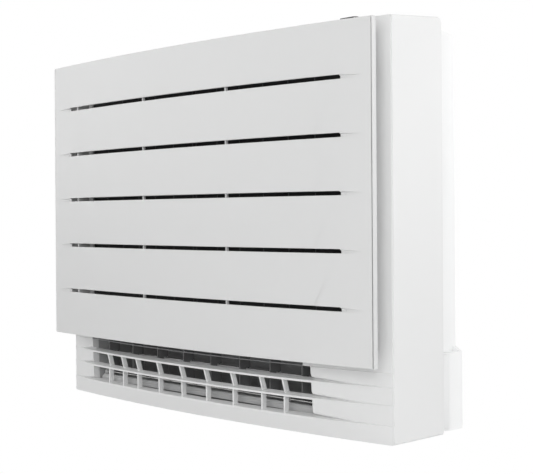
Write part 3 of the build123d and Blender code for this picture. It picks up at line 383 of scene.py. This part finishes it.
def pleated_cartridge(name, colour):
    """Pleated deodorizing paper: folds about every four millimetres, with painted shade in their valleys and
    painted light on their crests.
    """
    pleat = 0.004
    shader = Finish(name)
    fold = shader.along("X").wave(pleat)
    fibre = shader.noise(scale=1100.0, detail=3.0)
    # Painted shade and light: the colour darkens in each fold's valley and lightens on its crest.
    base = shader.blend(fold.ramp(0.1, 0.9) * 0.7 + fibre * 0.3, shade(colour, 0.5), shade(colour, 1.3))
    skin = shader.bump(fold, strength=0.9, depth=0.0014)
    return shader.finish(Base_Color=base, Roughness=0.75 + fibre * 0.15, Normal=skin)


def circuit_board(name, colour):
    """Solder mask over copper tracks, with tinned pads."""
    tin = (0.62, 0.62, 0.6, 1.0)
    shader = Finish(name)
    cells = {"Vector": shader.place(), "Scale": 210.0}
    track = shader.add("ShaderNodeTexVoronoi", {"distance": "CHEBYCHEV", "feature": "F1"}, cells)
    pads = {"Vector": shader.place(), "Scale": 330.0, "Randomness": 0.0}
    pad = shader.add("ShaderNodeTexVoronoi", {"distance": "EUCLIDEAN"}, pads)
    line = track.ramp(0.42, 0.46)
    dot = 1.0 - pad.ramp(0.16, 0.2)
    scatter = shader.noise(scale=75.0, detail=1.0).ramp(0.52, 0.55)
    tinned = dot * scatter
    mask = shader.blend(line, shade(colour, 0.85), shade(colour, 1.55))
    base = shader.blend(tinned, mask, tin)
    skin = shader.bump(line + tinned, strength=0.3, depth=0.00015)
    return shader.finish(Base_Color=base, Metallic=tinned * 0.8, Roughness=0.38 - tinned * 0.1, Normal=skin)


def display_glass(name, colour):
    """Smoked gloss window with faint fine scratches."""
    shader = Finish(name)
    scratch = shader.noise(scale=380.0, detail=3.0, stretch=(0.08, 1.0, 1.0)).ramp(0.62, 0.78)
    cloud = shader.noise(scale=60.0)
    base = shader.blend(cloud, shade(colour, 0.8), shade(colour, 1.3))
    skin = shader.bump(scratch, strength=0.03, depth=0.0001)
    return shader.finish(Base_Color=base, Roughness=0.07 + scratch * 0.08, Normal=skin, Coat_Weight=0.6)


# ---------------------------------------------------------------- mesh helpers


def clear_selection():
    bpy.ops.object.select_all(action="DESELECT")


def make_active(piece):
    clear_selection()
    piece.select_set(True)
    bpy.context.view_layer.objects.active = piece


def body_of(node):
    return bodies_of(frame["nodes"][node])[0]


def shell_of(node):
    """A copy of a CAD node's mesh with its loose triangles joined into one skin."""
    name = node + "_shell"
    source = frame["nodes"][node]
    mesh = source.data.copy()
    mesh.name = name
    piece = bpy.data.objects.new(name, mesh)
    bpy.context.scene.collection.objects.link(piece)
    mesh.transform(source.matrix_world)
    make_active(piece)
    bpy.ops.object.mode_set(mode="EDIT")
    bpy.ops.mesh.select_all(action="SELECT")
    bpy.ops.mesh.remove_doubles(threshold=WELD)
    bpy.ops.mesh.customdata_custom_splitnormals_clear()
    bpy.ops.mesh.dissolve_limited(angle_limit=FLAT_ANGLE)
    bpy.ops.object.mode_set(mode="OBJECT")
    return piece


def apply_modifier(piece, kind, **settings):
    modifier = piece.modifiers.new(kind.title(), kind)
    for key, value in settings.items():
        setattr(modifier, key, value)
    make_active(piece)
    bpy.ops.object.modifier_apply(modifier=modifier.name)


def apply_place():
    """Puts the active piece's place, turn and scale into its mesh."""
    bpy.ops.object.transform_apply(location=True, rotation=True, scale=True)


def smooth(piece, angle=SHARP_ANGLE):
    make_active(piece)
    bpy.ops.object.shade_smooth_by_angle(angle=angle)


def coat(node, material):
    """Sets a CAD node's own material."""
    data = frame["nodes"][node].data
    data.materials.clear()
    data.materials.append(bpy.data.materials[material])


def dress(piece, material, body):
    """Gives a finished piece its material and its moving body."""
    piece.data.materials.clear()
    piece.data.materials.append(bpy.data.materials[material])
    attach(piece, body)


def replace_node(piece, node, material):
    """Shades a shaped copy smoothly and puts it in its node's place."""
    smooth(piece, SHELL_ANGLE)
    apply_modifier(piece, "WEIGHTED_NORMAL", keep_sharp=True)
    dress(piece, material, body_of(node))
    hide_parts(node)


def soften(node, material, width):
    """Replaces a node with a copy whose sharp edges are rounded."""
    piece = shell_of(node)
    apply_modifier(
        piece,
        "BEVEL",
        width=width,
        segments=2,
        limit_method="ANGLE",
        angle_limit=SHARP_ANGLE,
        harden_normals=False,
        use_clamp_overlap=True,
    )
    replace_node(piece, node, material)


def choose_edges(piece, test):
    """Selects the sharp edges whose two ends pass a test, and leaves the piece in edit mode."""
    make_active(piece)
    bpy.ops.object.mode_set(mode="EDIT")
    bpy.ops.mesh.select_mode(type="EDGE")
    bpy.ops.mesh.select_all(action="DESELECT")
    bpy.ops.mesh.edges_select_sharp(sharpness=SHARP_ANGLE)
    bpy.ops.object.mode_set(mode="OBJECT")
    mesh = piece.data
    ends = [[mesh.vertices[index] for index in edge.vertices] for edge in mesh.edges]
    chosen = [edge.select and test(pair[0].co, pair[1].co) for edge, pair in zip(mesh.edges, ends)]
    for part in (mesh.vertices, mesh.edges, mesh.polygons):
        part.foreach_set("select", [False] * len(part))
    for edge, pair, wanted in zip(mesh.edges, ends, chosen):
        if wanted:
            edge.select = pair[0].select = pair[1].select = True
    bpy.ops.object.mode_set(mode="EDIT")


def bevel_edges(piece, test, width, segments=3, profile=0.5):
    """Rounds the chosen edges; a low profile cuts a fine notch along them."""
    choose_edges(piece, test)
    bpy.ops.mesh.bevel(offset=width, segments=segments, profile=profile, affect="EDGES", clamp_overlap=False)
    bpy.ops.object.mode_set(mode="OBJECT")


def draw_back(piece, test, length):
    """Moves the points that pass a test towards the back."""
    make_active(piece)
    bpy.ops.object.mode_set(mode="EDIT")
    bpy.ops.mesh.select_mode(type="VERT")
    bpy.ops.mesh.select_all(action="DESELECT")
    bpy.ops.object.mode_set(mode="OBJECT")
    for vertex in piece.data.vertices:
        vertex.select = test(vertex.co)
    bpy.ops.object.mode_set(mode="EDIT")
    bpy.ops.transform.translate(value=(0.0, length, 0.0))
    bpy.ops.object.mode_set(mode="OBJECT")


def near(value, target):
    return abs(value - target) < CLOSE


def up_the_side(start, end, y):
    """Whether an edge runs up either side of the object at y."""
    return all(near(abs(point.x), HALF_WIDTH) and near(point.y, y) for point in (start, end))


def bow_radius(bulge):
    """Radius of a face that bows out by bulge over the whole width."""
    return (HALF_WIDTH**2 + bulge**2) / (2.0 * bulge)


def bow_y(crown, bulge, x):
    """Place of a bowed face at x, going back from its crown."""
    radius = bow_radius(bulge)
    return crown + radius - math.sqrt(radius * radius - x * x)


def panel_y(x):
    """Front of the bowed panel at x."""
    return bow_y(PANEL_CROWN_Y, PANEL_BULGE, x)


def casing_y(x):
    """Front of the bowed casing at x."""
    return bow_y(CASING_CROWN_Y, CASING_BULGE, x)


def cut_away(piece, point, normal):
    """Bisects a piece in edit mode and drops what lies on the normal's side."""
    bpy.ops.mesh.select_all(action="SELECT")
    bpy.ops.mesh.bisect(plane_co=point, plane_no=normal, clear_outer=True)


def bowed_strip(name, crown, span, levels):
    """A strip along the casing's bow: a slice of a wide tube with a wall grown inwards."""
    radius = bow_radius(CASING_BULGE)
    clear_selection()
    bpy.ops.mesh.primitive_cylinder_add(
        vertices=STRIP_SIDES,
        radius=radius,
        depth=levels[1] - levels[0],
        end_fill_type="NOTHING",
        location=(0.0, crown + radius, (levels[0] + levels[1]) / 2.0),
    )
    piece = bpy.context.object
    piece.name = name
    apply_place()
    bpy.ops.object.mode_set(mode="EDIT")
    cut_away(piece, (span[0], 0.0, 0.0), (-1.0, 0.0, 0.0))
    cut_away(piece, (span[1], 0.0, 0.0), (1.0, 0.0, 0.0))
    cut_away(piece, (0.0, crown + radius, 0.0), (0.0, 1.0, 0.0))
    bpy.ops.object.mode_set(mode="OBJECT")
    apply_modifier(piece, "SOLIDIFY", thickness=STRIP_WALL, offset=-1.0)
    apply_modifier(piece, "BEVEL", width=STRIP_ROUND, segments=2, limit_method="ANGLE")
    smooth(piece)
    return piece


# ---------------------------------------------------------------- settings


class AirconColours(bpy.types.PropertyGroup):
    """Colours of the main moulded pieces; the panel's holds painted shade and the rear frame's painted
    light.
    """

    # Painted shade: the panel is the same white plastic as the casing, given a darker colour for the light
    # that falls on it.
    panel: FloatVectorProperty(
        name="Panel",
        description="Colour of the bowed front panel",
        subtype="COLOR",
        default=(0.664, 0.667, 0.666),
        min=0.0,
        max=1.0,
    )
    casing: FloatVectorProperty(
        name="Casing",
        description="Colour of the casing, the outlet grille and the flaps",
        subtype="COLOR",
        default=(0.755, 0.758, 0.757),
        min=0.0,
        max=1.0,
    )
    # Painted light: the rear frame is the same white plastic as the casing, given a lighter colour for the
    # light that falls on its side.
    rear: FloatVectorProperty(
        name="Rear frame",
        description="Colour of the inset rear frame",
        subtype="COLOR",
        default=(0.885, 0.89, 0.89),
        min=0.0,
        max=1.0,
    )
    duct: FloatVectorProperty(
        name="Ducts",
        description="Colour of the dark duct housing and the vanes",
        subtype="COLOR",
        default=(0.4, 0.4, 0.405),
        min=0.0,
        max=1.0,
    )


class AirconSizes(bpy.types.PropertyGroup):
    """Sizes of the rounded edges, the fine lines, the ledge bead and the rear block's taper."""

    panel_round: FloatProperty(
        name="Panel edge radius",
        description="Radius on the edges of the front panel and its slots",
        subtype="DISTANCE",
        unit="LENGTH",
        default=0.0011,
        min=0.0,
    )
    parting_line: FloatProperty(
        name="Panel line",
        description="Width of the fine line down the sides of the panel",
        subtype="DISTANCE",
        unit="LENGTH",
        default=0.0011,
        min=0.0,
    )
    corner_line: FloatProperty(
        name="Corner line",
        description="Width of the fine line down the corners of the casing",
        subtype="DISTANCE",
        unit="LENGTH",
        default=0.0018,
        min=0.0,
    )
    block_taper: FloatProperty(
        name="Rear block taper",
        description="Length over which the rear block widens from the frame",
        subtype="DISTANCE",
        unit="LENGTH",
        default=0.022,
        min=0.0,
    )
    ledge_bead: FloatProperty(
        name="Ledge bead",
        description="How far the bead along the ledge stands proud",
        subtype="DISTANCE",
        unit="LENGTH",
        default=0.0006,
        min=0.0,
    )
    casing_round: FloatProperty(
        name="Casing edge radius",
        description="Radius on the side edges of the casing's lower outlet",
        subtype="DISTANCE",
        unit="LENGTH",
        default=0.0008,
        min=0.0,
    )
    small_round: FloatProperty(
        name="Small edge radius",
        description="Radius on the vanes, lower flap, window and button; grille and top flap take more",
        subtype="DISTANCE",
        unit="LENGTH",
        default=0.0004,
        min=0.0,
    )


class AirconStage(bpy.types.PropertyGroup):
    """Size of the floor, and the powers of the lamps and the room light."""

    floor_size: FloatProperty(
        name="Floor size",
        description="Side of the square floor",
        subtype="DISTANCE",
        unit="LENGTH",
        default=14.0,
        min=1.0,
    )
    left_power: FloatProperty(
        name="Left lamp",
        description="Power of the broad lamp on the left, in front",
        unit="POWER",
        default=22.0,
        min=0.0,
    )
    front_power: FloatProperty(
        name="Front lamp",
        description="Power of the broad lamp on the right, in front",
        unit="POWER",
        default=41.5,
        min=0.0,
    )
    rear_power: FloatProperty(
        name="Rear lamp",
        description="Power of the broad lamp on the right, behind",
        unit="POWER",
        default=61.5,
        min=0.0,
    )
    low_power: FloatProperty(
        name="Low lamp",
        description="Power of the low lamp on the right, in front",
        unit="POWER",
        default=5.0,
        min=0.0,
    )
    top_power: FloatProperty(
        name="Top lamp",
        description="Power of the broad lamp overhead",
        unit="POWER",
        default=28.0,
        min=0.0,
    )
    ambient: FloatProperty(
        name="Room light",
        description="Strength of the even light from all sides",
        default=0.2,
        min=0.0,
    )


# ---------------------------------------------------------------- operators


class AIRCON_OT_camera(bpy.types.Operator):
    """Set the camera at the photograph's place, with its slight roll."""

    bl_idname = "aircon.camera"
    bl_label = "Camera"

    def execute(self, context):
        data = bpy.data.cameras.new("Camera")
        camera = bpy.data.objects.new("Camera", data)
        context.scene.collection.objects.link(camera)
        data.sensor_width = CAMERA_SENSOR
        data.lens = CAMERA_LENS
        data.shift_y = CAMERA_SHIFT
        data.clip_end = CAMERA_REACH
        camera.location = CAMERA_PLACE
        camera.rotation_euler = CAMERA_TURN
        context.scene.camera = camera
        return {"FINISHED"}


class AIRCON_OT_finishes(bpy.types.Operator):
    """Make every finish the object wears."""

    bl_idname = "aircon.finishes"
    bl_label = "Finishes"

    def execute(self, context):
        tint = context.scene.aircon_colours
        # Painted shade: the panel's white is a darker copy of the casing's white plastic.
        moulded_plastic("Panel white", tint.panel, roughness=0.4, grain=0.04, mottle=0.012)
        moulded_plastic("Casing white", tint.casing, roughness=0.42, grain=0.05, mottle=0.012)
        # Painted light: the grille's white is the casing's white plastic made 6 percent lighter.
        moulded_plastic("Grille white", shade(tint.casing, 1.06), roughness=0.4, grain=0.04, mottle=0.012)
        # Painted light: the rear frame's white is a lighter copy of the casing's white plastic.
        moulded_plastic("Rear white", tint.rear, roughness=0.45, grain=0.06, mottle=0.015)
        # The lip's grey is partly its own colour and partly painted shade from the panel that overhangs it.
        moulded_plastic("Lip grey", (0.22, 0.22, 0.225), roughness=0.5, grain=0.06, mottle=0.05)
        moulded_plastic("Duct dark", tint.duct, roughness=0.55, grain=0.12, mottle=0.15)
        moulded_plastic("Vane dark", shade(tint.duct, 0.35), roughness=0.5, grain=0.08, mottle=0.12)
        moulded_plastic("Fan plastic", (0.045, 0.046, 0.05), roughness=0.45, grain=0.08, mottle=0.12)
        moulded_plastic("Part black", (0.02, 0.02, 0.021), roughness=0.5, grain=0.1, mottle=0.2)
        brushed_metal("Motor case", (0.5, 0.51, 0.52), roughness=0.35, stretch=(1.0, 1.0, 0.1))
        brushed_metal("Steel", (0.58, 0.58, 0.57), roughness=0.28, stretch=(0.15, 1.0, 1.0))
        brushed_metal("Brass", (0.78, 0.55, 0.26), roughness=0.26, stretch=(1.0, 0.15, 1.0))
        brushed_metal("Coil aluminium", (0.76, 0.77, 0.78), roughness=0.34, stretch=(1.0, 1.0, 0.05))
        spangled_steel("Sheet steel", (0.62, 0.63, 0.64))
        aged_copper("Copper", (0.85, 0.44, 0.27))
        foam("Pan foam", (0.74, 0.74, 0.72))
        net("Filter net", (0.02, 0.02, 0.021))
        moulded_plastic("Filter frame", (0.07, 0.07, 0.073), roughness=0.45, grain=0.1, mottle=0.2)
        pleated_cartridge("Cartridge", (0.2, 0.21, 0.22))
        circuit_board("Board green", (0.02, 0.13, 0.05))
        display_glass("Display dark", (0.008, 0.008, 0.009))
        return {"FINISHED"}


NODE_FINISH = {
    "duct_housing": "Duct dark",
    "bell_mouth": "Duct dark",
    "turbo_fan": "Fan plastic",
    "motor_shaft": "Steel",
    "fan_nut": "Steel",
    "fan_motor": "Motor case",
    "motor_bracket": "Steel",
    "coil_fin_block": "Coil aluminium",
    "coil_end_plates": "Sheet steel",
    "coil_return_bends": "Copper",
    "coil_thermistor": "Copper",
    "gas_pipe": "Copper",
    "liquid_pipe": "Copper",
    "flare_nuts": "Brass",
    "drain_pan": "Pan foam",
    "air_filter_left": "Filter net",
    "air_filter_right": "Filter net",
    "deodorizing_filter_left": "Cartridge",
    "deodorizing_filter_right": "Cartridge",
    "flap_motor": "Motor case",
    "upper_tie_bar": "Duct dark",
    "lower_tie_bar": "Duct dark",
    "flap_rod": "Steel",
    "lower_flap_motor": "Motor case",
    "control_box": "Sheet steel",
    "control_box_cover": "Sheet steel",
    "main_board": "Board green",
    "board_parts": "Part black",
    "terminal_block": "Part black",
    "terminal_screws": "Steel",
    "display_board": "Board green",
    "casing_screws": "Steel",
    "panel_catches": "Casing white",
    "hinge_ears": "Casing white",
}


class AIRCON_OT_inner_coats(bpy.types.Operator):
    """Give the inner pieces their finishes."""

    bl_idname = "aircon.inner_coats"
    bl_label = "Inner finishes"

    def execute(self, context):
        for node, material in NODE_FINISH.items():
            coat(node, material)
        return {"FINISHED"}


class AIRCON_OT_front_panel(bpy.types.Operator):
    """Round the bowed panel's rim and slots, and cut the fine line down each side."""

    bl_idname = "aircon.front_panel"
    bl_label = "Front panel"

    def execute(self, context):
        sizes = context.scene.aircon_sizes
        piece = shell_of("front_panel")
        bevel_edges(piece, self.on_slot, sizes.panel_round)
        bevel_edges(piece, self.on_rim, sizes.panel_round)
        bevel_edges(piece, self.on_side, sizes.parting_line, segments=2, profile=LINE_PROFILE)
        replace_node(piece, "front_panel", "Panel white")
        return {"FINISHED"}

    @staticmethod
    def on_face(start, end):
        """Whether an edge lies in the bowed face and runs level."""
        in_face = all(abs(point.y - panel_y(point.x)) < SKIN for point in (start, end))
        return in_face and near(start.z, end.z)

    def on_slot(self, start, end):
        if not self.on_face(start, end) or (end - start).length < SHORTEST_EDGE:
            return False
        inside = max(abs(start.x), abs(end.x)) < SLOT_HALF - SLOT_END
        return inside and any(near(abs(start.z - level), SLOT_RISE) for level in SLOT_LEVELS)

    def on_rim(self, start, end):
        return self.on_face(start, end) and (near(start.z, PANEL_FOOT_Z) or near(start.z, PANEL_TOP_Z))

    @staticmethod
    def on_side(start, end):
        return up_the_side(start, end, PANEL_SIDE_Y)


class AIRCON_OT_casing(bpy.types.Operator):
    """Round the edges of the casing's outlet, cut its corner lines and taper the rear block."""

    bl_idname = "aircon.casing"
    bl_label = "Casing and rear frame"

    def execute(self, context):
        sizes = context.scene.aircon_sizes
        casing = shell_of("front_casing")
        bevel_edges(casing, self.on_window, sizes.casing_round)
        bevel_edges(casing, self.on_corner, sizes.corner_line, segments=2, profile=LINE_PROFILE)
        replace_node(casing, "front_casing", "Casing white")
        rear = shell_of("rear_frame")
        slope = sizes.block_taper / (BLOCK_X - FRAME_X)
        for width in (BLOCK_X, BLOCK_INNER_X):
            draw_back(rear, self.on_block_front(width), slope * (width - FRAME_X))
        replace_node(rear, "rear_frame", "Rear white")
        for side, name in ((1, "block_cover_right"), (-1, "block_cover_left")):
            self.cover(name, side, slope)
        return {"FINISHED"}

    @staticmethod
    def on_corner(start, end):
        return up_the_side(start, end, CORNER_Y)

    @staticmethod
    def on_window(start, end):
        ahead = max(start.y, end.y) < CORNER_Y - CORNER_MARGIN
        below = max(start.z, end.z) < LEDGE_Z + CLOSE
        at_duct = near(start.x, end.x) and any(near(start.x, side) for side in DUCT_X)
        return ahead and below and at_duct and (end - start).length > SHORTEST_EDGE

    @staticmethod
    def on_block_front(width):
        """A test for the points along the block's front at one width."""

        def test(point):
            low = point.z < BLOCK_TOP_Z + CLOSE
            return low and near(abs(point.x), width) and near(point.y, BLOCK_Y)

        return test

    @staticmethod
    def cover(name, side, slope):
        """A thin plate that closes the block's open front, along its slope."""
        inner, outer = FRAME_X + CLOSE, BLOCK_INNER_X - CLOSE
        low, high = BLOCK_WALL + CLOSE, BLOCK_TOP_Z - BLOCK_WALL - CLOSE
        place = (side * (inner + outer) / 2.0, BLOCK_Y + COVER_DEPTH, (low + high) / 2.0)
        clear_selection()
        bpy.ops.mesh.primitive_cube_add(size=1.0, location=place)
        plate = bpy.context.object
        plate.name = name
        plate.scale = (outer - inner, COVER_WALL, high - low)
        apply_place()
        draw_back(plate, lambda point: near(abs(point.x), outer), slope * (outer - inner))
        apply_modifier(plate, "BEVEL", width=COVER_ROUND, segments=2, limit_method="ANGLE")
        smooth(plate)
        dress(plate, "Rear white", body_of("rear_frame"))


class AIRCON_OT_trim(bpy.types.Operator):
    """Lay the thin trim: the outlet's roof lip, the ledge beads and the slots' end stops."""

    bl_idname = "aircon.trim"
    bl_label = "Thin trim"

    def execute(self, context):
        # Its grey finish is partly painted shade from the overhanging panel.
        lip = bowed_strip("outlet_roof_lip", CASING_CROWN_Y, LIP_X, LIP_Z)
        dress(lip, "Lip grey", "casing")
        proud = CASING_CROWN_Y - context.scene.aircon_sizes.ledge_bead
        for name, span in BEAD_X.items():
            bead = bowed_strip(name, proud, span, BEAD_Z)
            dress(bead, "Casing white", "casing")
        self.slot_stops()
        return {"FINISHED"}

    @staticmethod
    def slot_stops():
        """Small blocks behind the skin that close each slot squarely."""
        clear_selection()
        bpy.ops.mesh.primitive_cube_add(size=1.0, location=(0.0, 0.0, 0.0))
        first = bpy.context.object
        first.name = "slot_stop_1"
        first.scale = STOP_SIZE
        apply_place()
        apply_modifier(first, "BEVEL", width=STOP_ROUND, segments=2, limit_method="ANGLE")
        places = [(side, level) for level in SLOT_LEVELS for side in (-1, 1)]
        stops = [first]
        for number in range(2, len(places) + 1):
            stop = bpy.data.objects.new("slot_stop_%d" % number, first.data.copy())
            bpy.context.scene.collection.objects.link(stop)
            stops.append(stop)
        for stop, (side, level) in zip(stops, places):
            x = side * (SLOT_HALF + STOP_SIZE[0] / 2.0)
            for vertex in stop.data.vertices:
                vertex.co += Vector((x, panel_y(x) + STOP_DEPTH, level))
            smooth(stop)
            dress(stop, "Panel white", "front_panel")


class AIRCON_OT_filter_ribs(bpy.types.Operator):
    """Lay the moulded rib lattice on the front of each air filter."""

    bl_idname = "aircon.filter_ribs"
    bl_label = "Filter ribs"

    def execute(self, context):
        for side, word in ((-1, "left"), (1, "right")):
            self.lattice("air_filter_" + word, "filter_ribs_" + word, side)
        return {"FINISHED"}

    @staticmethod
    def lattice(node, name, side):
        """An upright grid inside the intake, bowed to the net and drawn out into crossing bars."""
        width = INTAKE_X - 2.0 * RIB_MARGIN
        height = INTAKE_Z[1] - INTAKE_Z[0] - 2.0 * RIB_MARGIN
        clear_selection()
        bpy.ops.mesh.primitive_grid_add(
            x_subdivisions=RIB_CELLS[0],
            y_subdivisions=RIB_CELLS[1],
            size=1.0,
            location=(side * INTAKE_X / 2.0, 0.0, sum(INTAKE_Z) / 2.0),
            rotation=(math.radians(90.0), 0.0, 0.0),
        )
        ribs = bpy.context.object
        ribs.name = name
        ribs.scale = (width, height, 1.0)
        apply_place()
        for vertex in ribs.data.vertices:
            vertex.co.y = casing_y(vertex.co.x) + FILTER_DEPTH
        apply_modifier(ribs, "WIREFRAME", thickness=RIB_WIDTH, use_replace=True, use_boundary=True)
        smooth(ribs)
        dress(ribs, "Filter frame", body_of(node))


class AIRCON_OT_outlets(bpy.types.Operator):
    """Round the blades of the lower outlet, both flaps and all vanes."""

    bl_idname = "aircon.outlets"
    bl_label = "Outlets"

    def execute(self, context):
        width = context.scene.aircon_sizes.small_round
        soften("outlet_grille", "Grille white", width * 1.5)
        soften("top_flap", "Casing white", width * 2.0)
        soften("lower_flap", "Casing white", width)
        for number in range(1, LOWER_VANES + 1):
            soften("lower_vane_%d" % number, "Vane dark", width)
        for number in range(1, UPPER_VANES + 1):
            soften("upper_vane_%d" % number, "Vane dark", width)
        return {"FINISHED"}


class AIRCON_OT_controls(bpy.types.Operator):
    """Round the display window and the on and off button."""

    bl_idname = "aircon.controls"
    bl_label = "Display and button"

    def execute(self, context):
        width = context.scene.aircon_sizes.small_round
        soften("display_window", "Display dark", width)
        soften("on_off_button", "Casing white", width)
        return {"FINISHED"}


class AIRCON_OT_stage(bpy.types.Operator):
    """Set the floor, the room light and five broad lamps."""

    bl_idname = "aircon.stage"
    bl_label = "Stage"

    def execute(self, context):
        stage = context.scene.aircon_stage
        self.add_floor(stage.floor_size)
        self.add_world(context, stage.ambient)
        for word, (place, size) in LAMPS.items():
            self.add_lamp(word.title() + " lamp", getattr(stage, word + "_power"), place, size)
        context.scene.view_settings.view_transform = "Standard"
        return {"FINISHED"}

    @staticmethod
    def add_floor(size):
        """A floor that the camera sees as plain white; its lit face only sends light to the object."""
        clear_selection()
        bpy.ops.mesh.primitive_grid_add(x_subdivisions=FLOOR_CELLS, y_subdivisions=FLOOR_CELLS, size=size)
        floor = bpy.context.object
        floor.name = "Floor"
        apply_place()
        shader = Finish("Floor white")
        gloss = 0.7 + shader.noise(scale=3.0) * 0.1
        lit = shader.add("ShaderNodeBsdfPrincipled", None, {"Base Color": FLOOR_GREY, "Roughness": gloss})
        white = shader.add("ShaderNodeEmission", None, {"Color": WHITE, "Strength": 1.0})
        shader.show(shader.add("ShaderNodeMixShader", None, {0: shader.white_rays(), 1: lit, 2: white}))
        floor.data.materials.append(shader.material)

    @staticmethod
    def add_world(context, ambient):
        """Even light from all sides, in a room that looks plain white."""
        world = bpy.data.worlds.new("Room")
        context.scene.world = world
        world.use_nodes = True
        shader = Shader(world.node_tree, "ShaderNodeOutputWorld")
        room = shader.add("ShaderNodeBackground", None, {"Color": WHITE, "Strength": ambient})
        seen = shader.add("ShaderNodeBackground", None, {"Color": WHITE, "Strength": 1.0})
        shader.show(shader.add("ShaderNodeMixShader", None, {0: shader.white_rays(), 1: room, 2: seen}))

    @staticmethod
    def add_lamp(name, power, place, size):
        """A broad lamp that points at the middle of the object."""
        data = bpy.data.lights.new(name, "AREA")
        data.shape = "RECTANGLE"
        data.size = size[0]
        data.size_y = size[1]
        data.energy = power
        lamp = bpy.data.objects.new(name, data)
        bpy.context.scene.collection.objects.link(lamp)
        lamp.location = place
        aim = Vector(LAMP_TARGET) - Vector(place)
        lamp.rotation_euler = aim.to_track_quat("-Z", "Y").to_euler()


class AIRCON_PT_sidebar(bpy.types.Panel):
    """Lists the settings and the steps in the 3D view's sidebar."""

    bl_label = "Air Conditioner"
    bl_idname = "AIRCON_PT_sidebar"
    bl_space_type = "VIEW_3D"
    bl_region_type = "UI"
    bl_category = "Air Conditioner"

    def draw(self, context):
        for group in (context.scene.aircon_colours, context.scene.aircon_sizes, context.scene.aircon_stage):
            box = self.layout.box()
            for key in group.__annotations__:
                box.prop(group, key)
        for step in STEPS:
            self.layout.operator(step.bl_idname)


STEPS = (
    AIRCON_OT_camera,
    AIRCON_OT_finishes,
    AIRCON_OT_inner_coats,
    AIRCON_OT_front_panel,
    AIRCON_OT_casing,
    AIRCON_OT_trim,
    AIRCON_OT_filter_ribs,
    AIRCON_OT_outlets,
    AIRCON_OT_controls,
    AIRCON_OT_stage,
)
GROUPS = {
    "aircon_colours": AirconColours,
    "aircon_sizes": AirconSizes,
    "aircon_stage": AirconStage,
}
CLASSES = tuple(GROUPS.values()) + STEPS + (AIRCON_PT_sidebar,)


def register():
    for cls in CLASSES:
        bpy.utils.register_class(cls)
    for key, cls in GROUPS.items():
        setattr(bpy.types.Scene, key, PointerProperty(type=cls))


def unregister():
    for key in GROUPS:
        delattr(bpy.types.Scene, key)
    for cls in reversed(CLASSES):
        bpy.utils.unregister_class(cls)


def main():
    register()
    for step in STEPS:
        group, name = step.bl_idname.split(".")
        getattr(getattr(bpy.ops, group), name)()


if __name__ == "__main__":
    main()
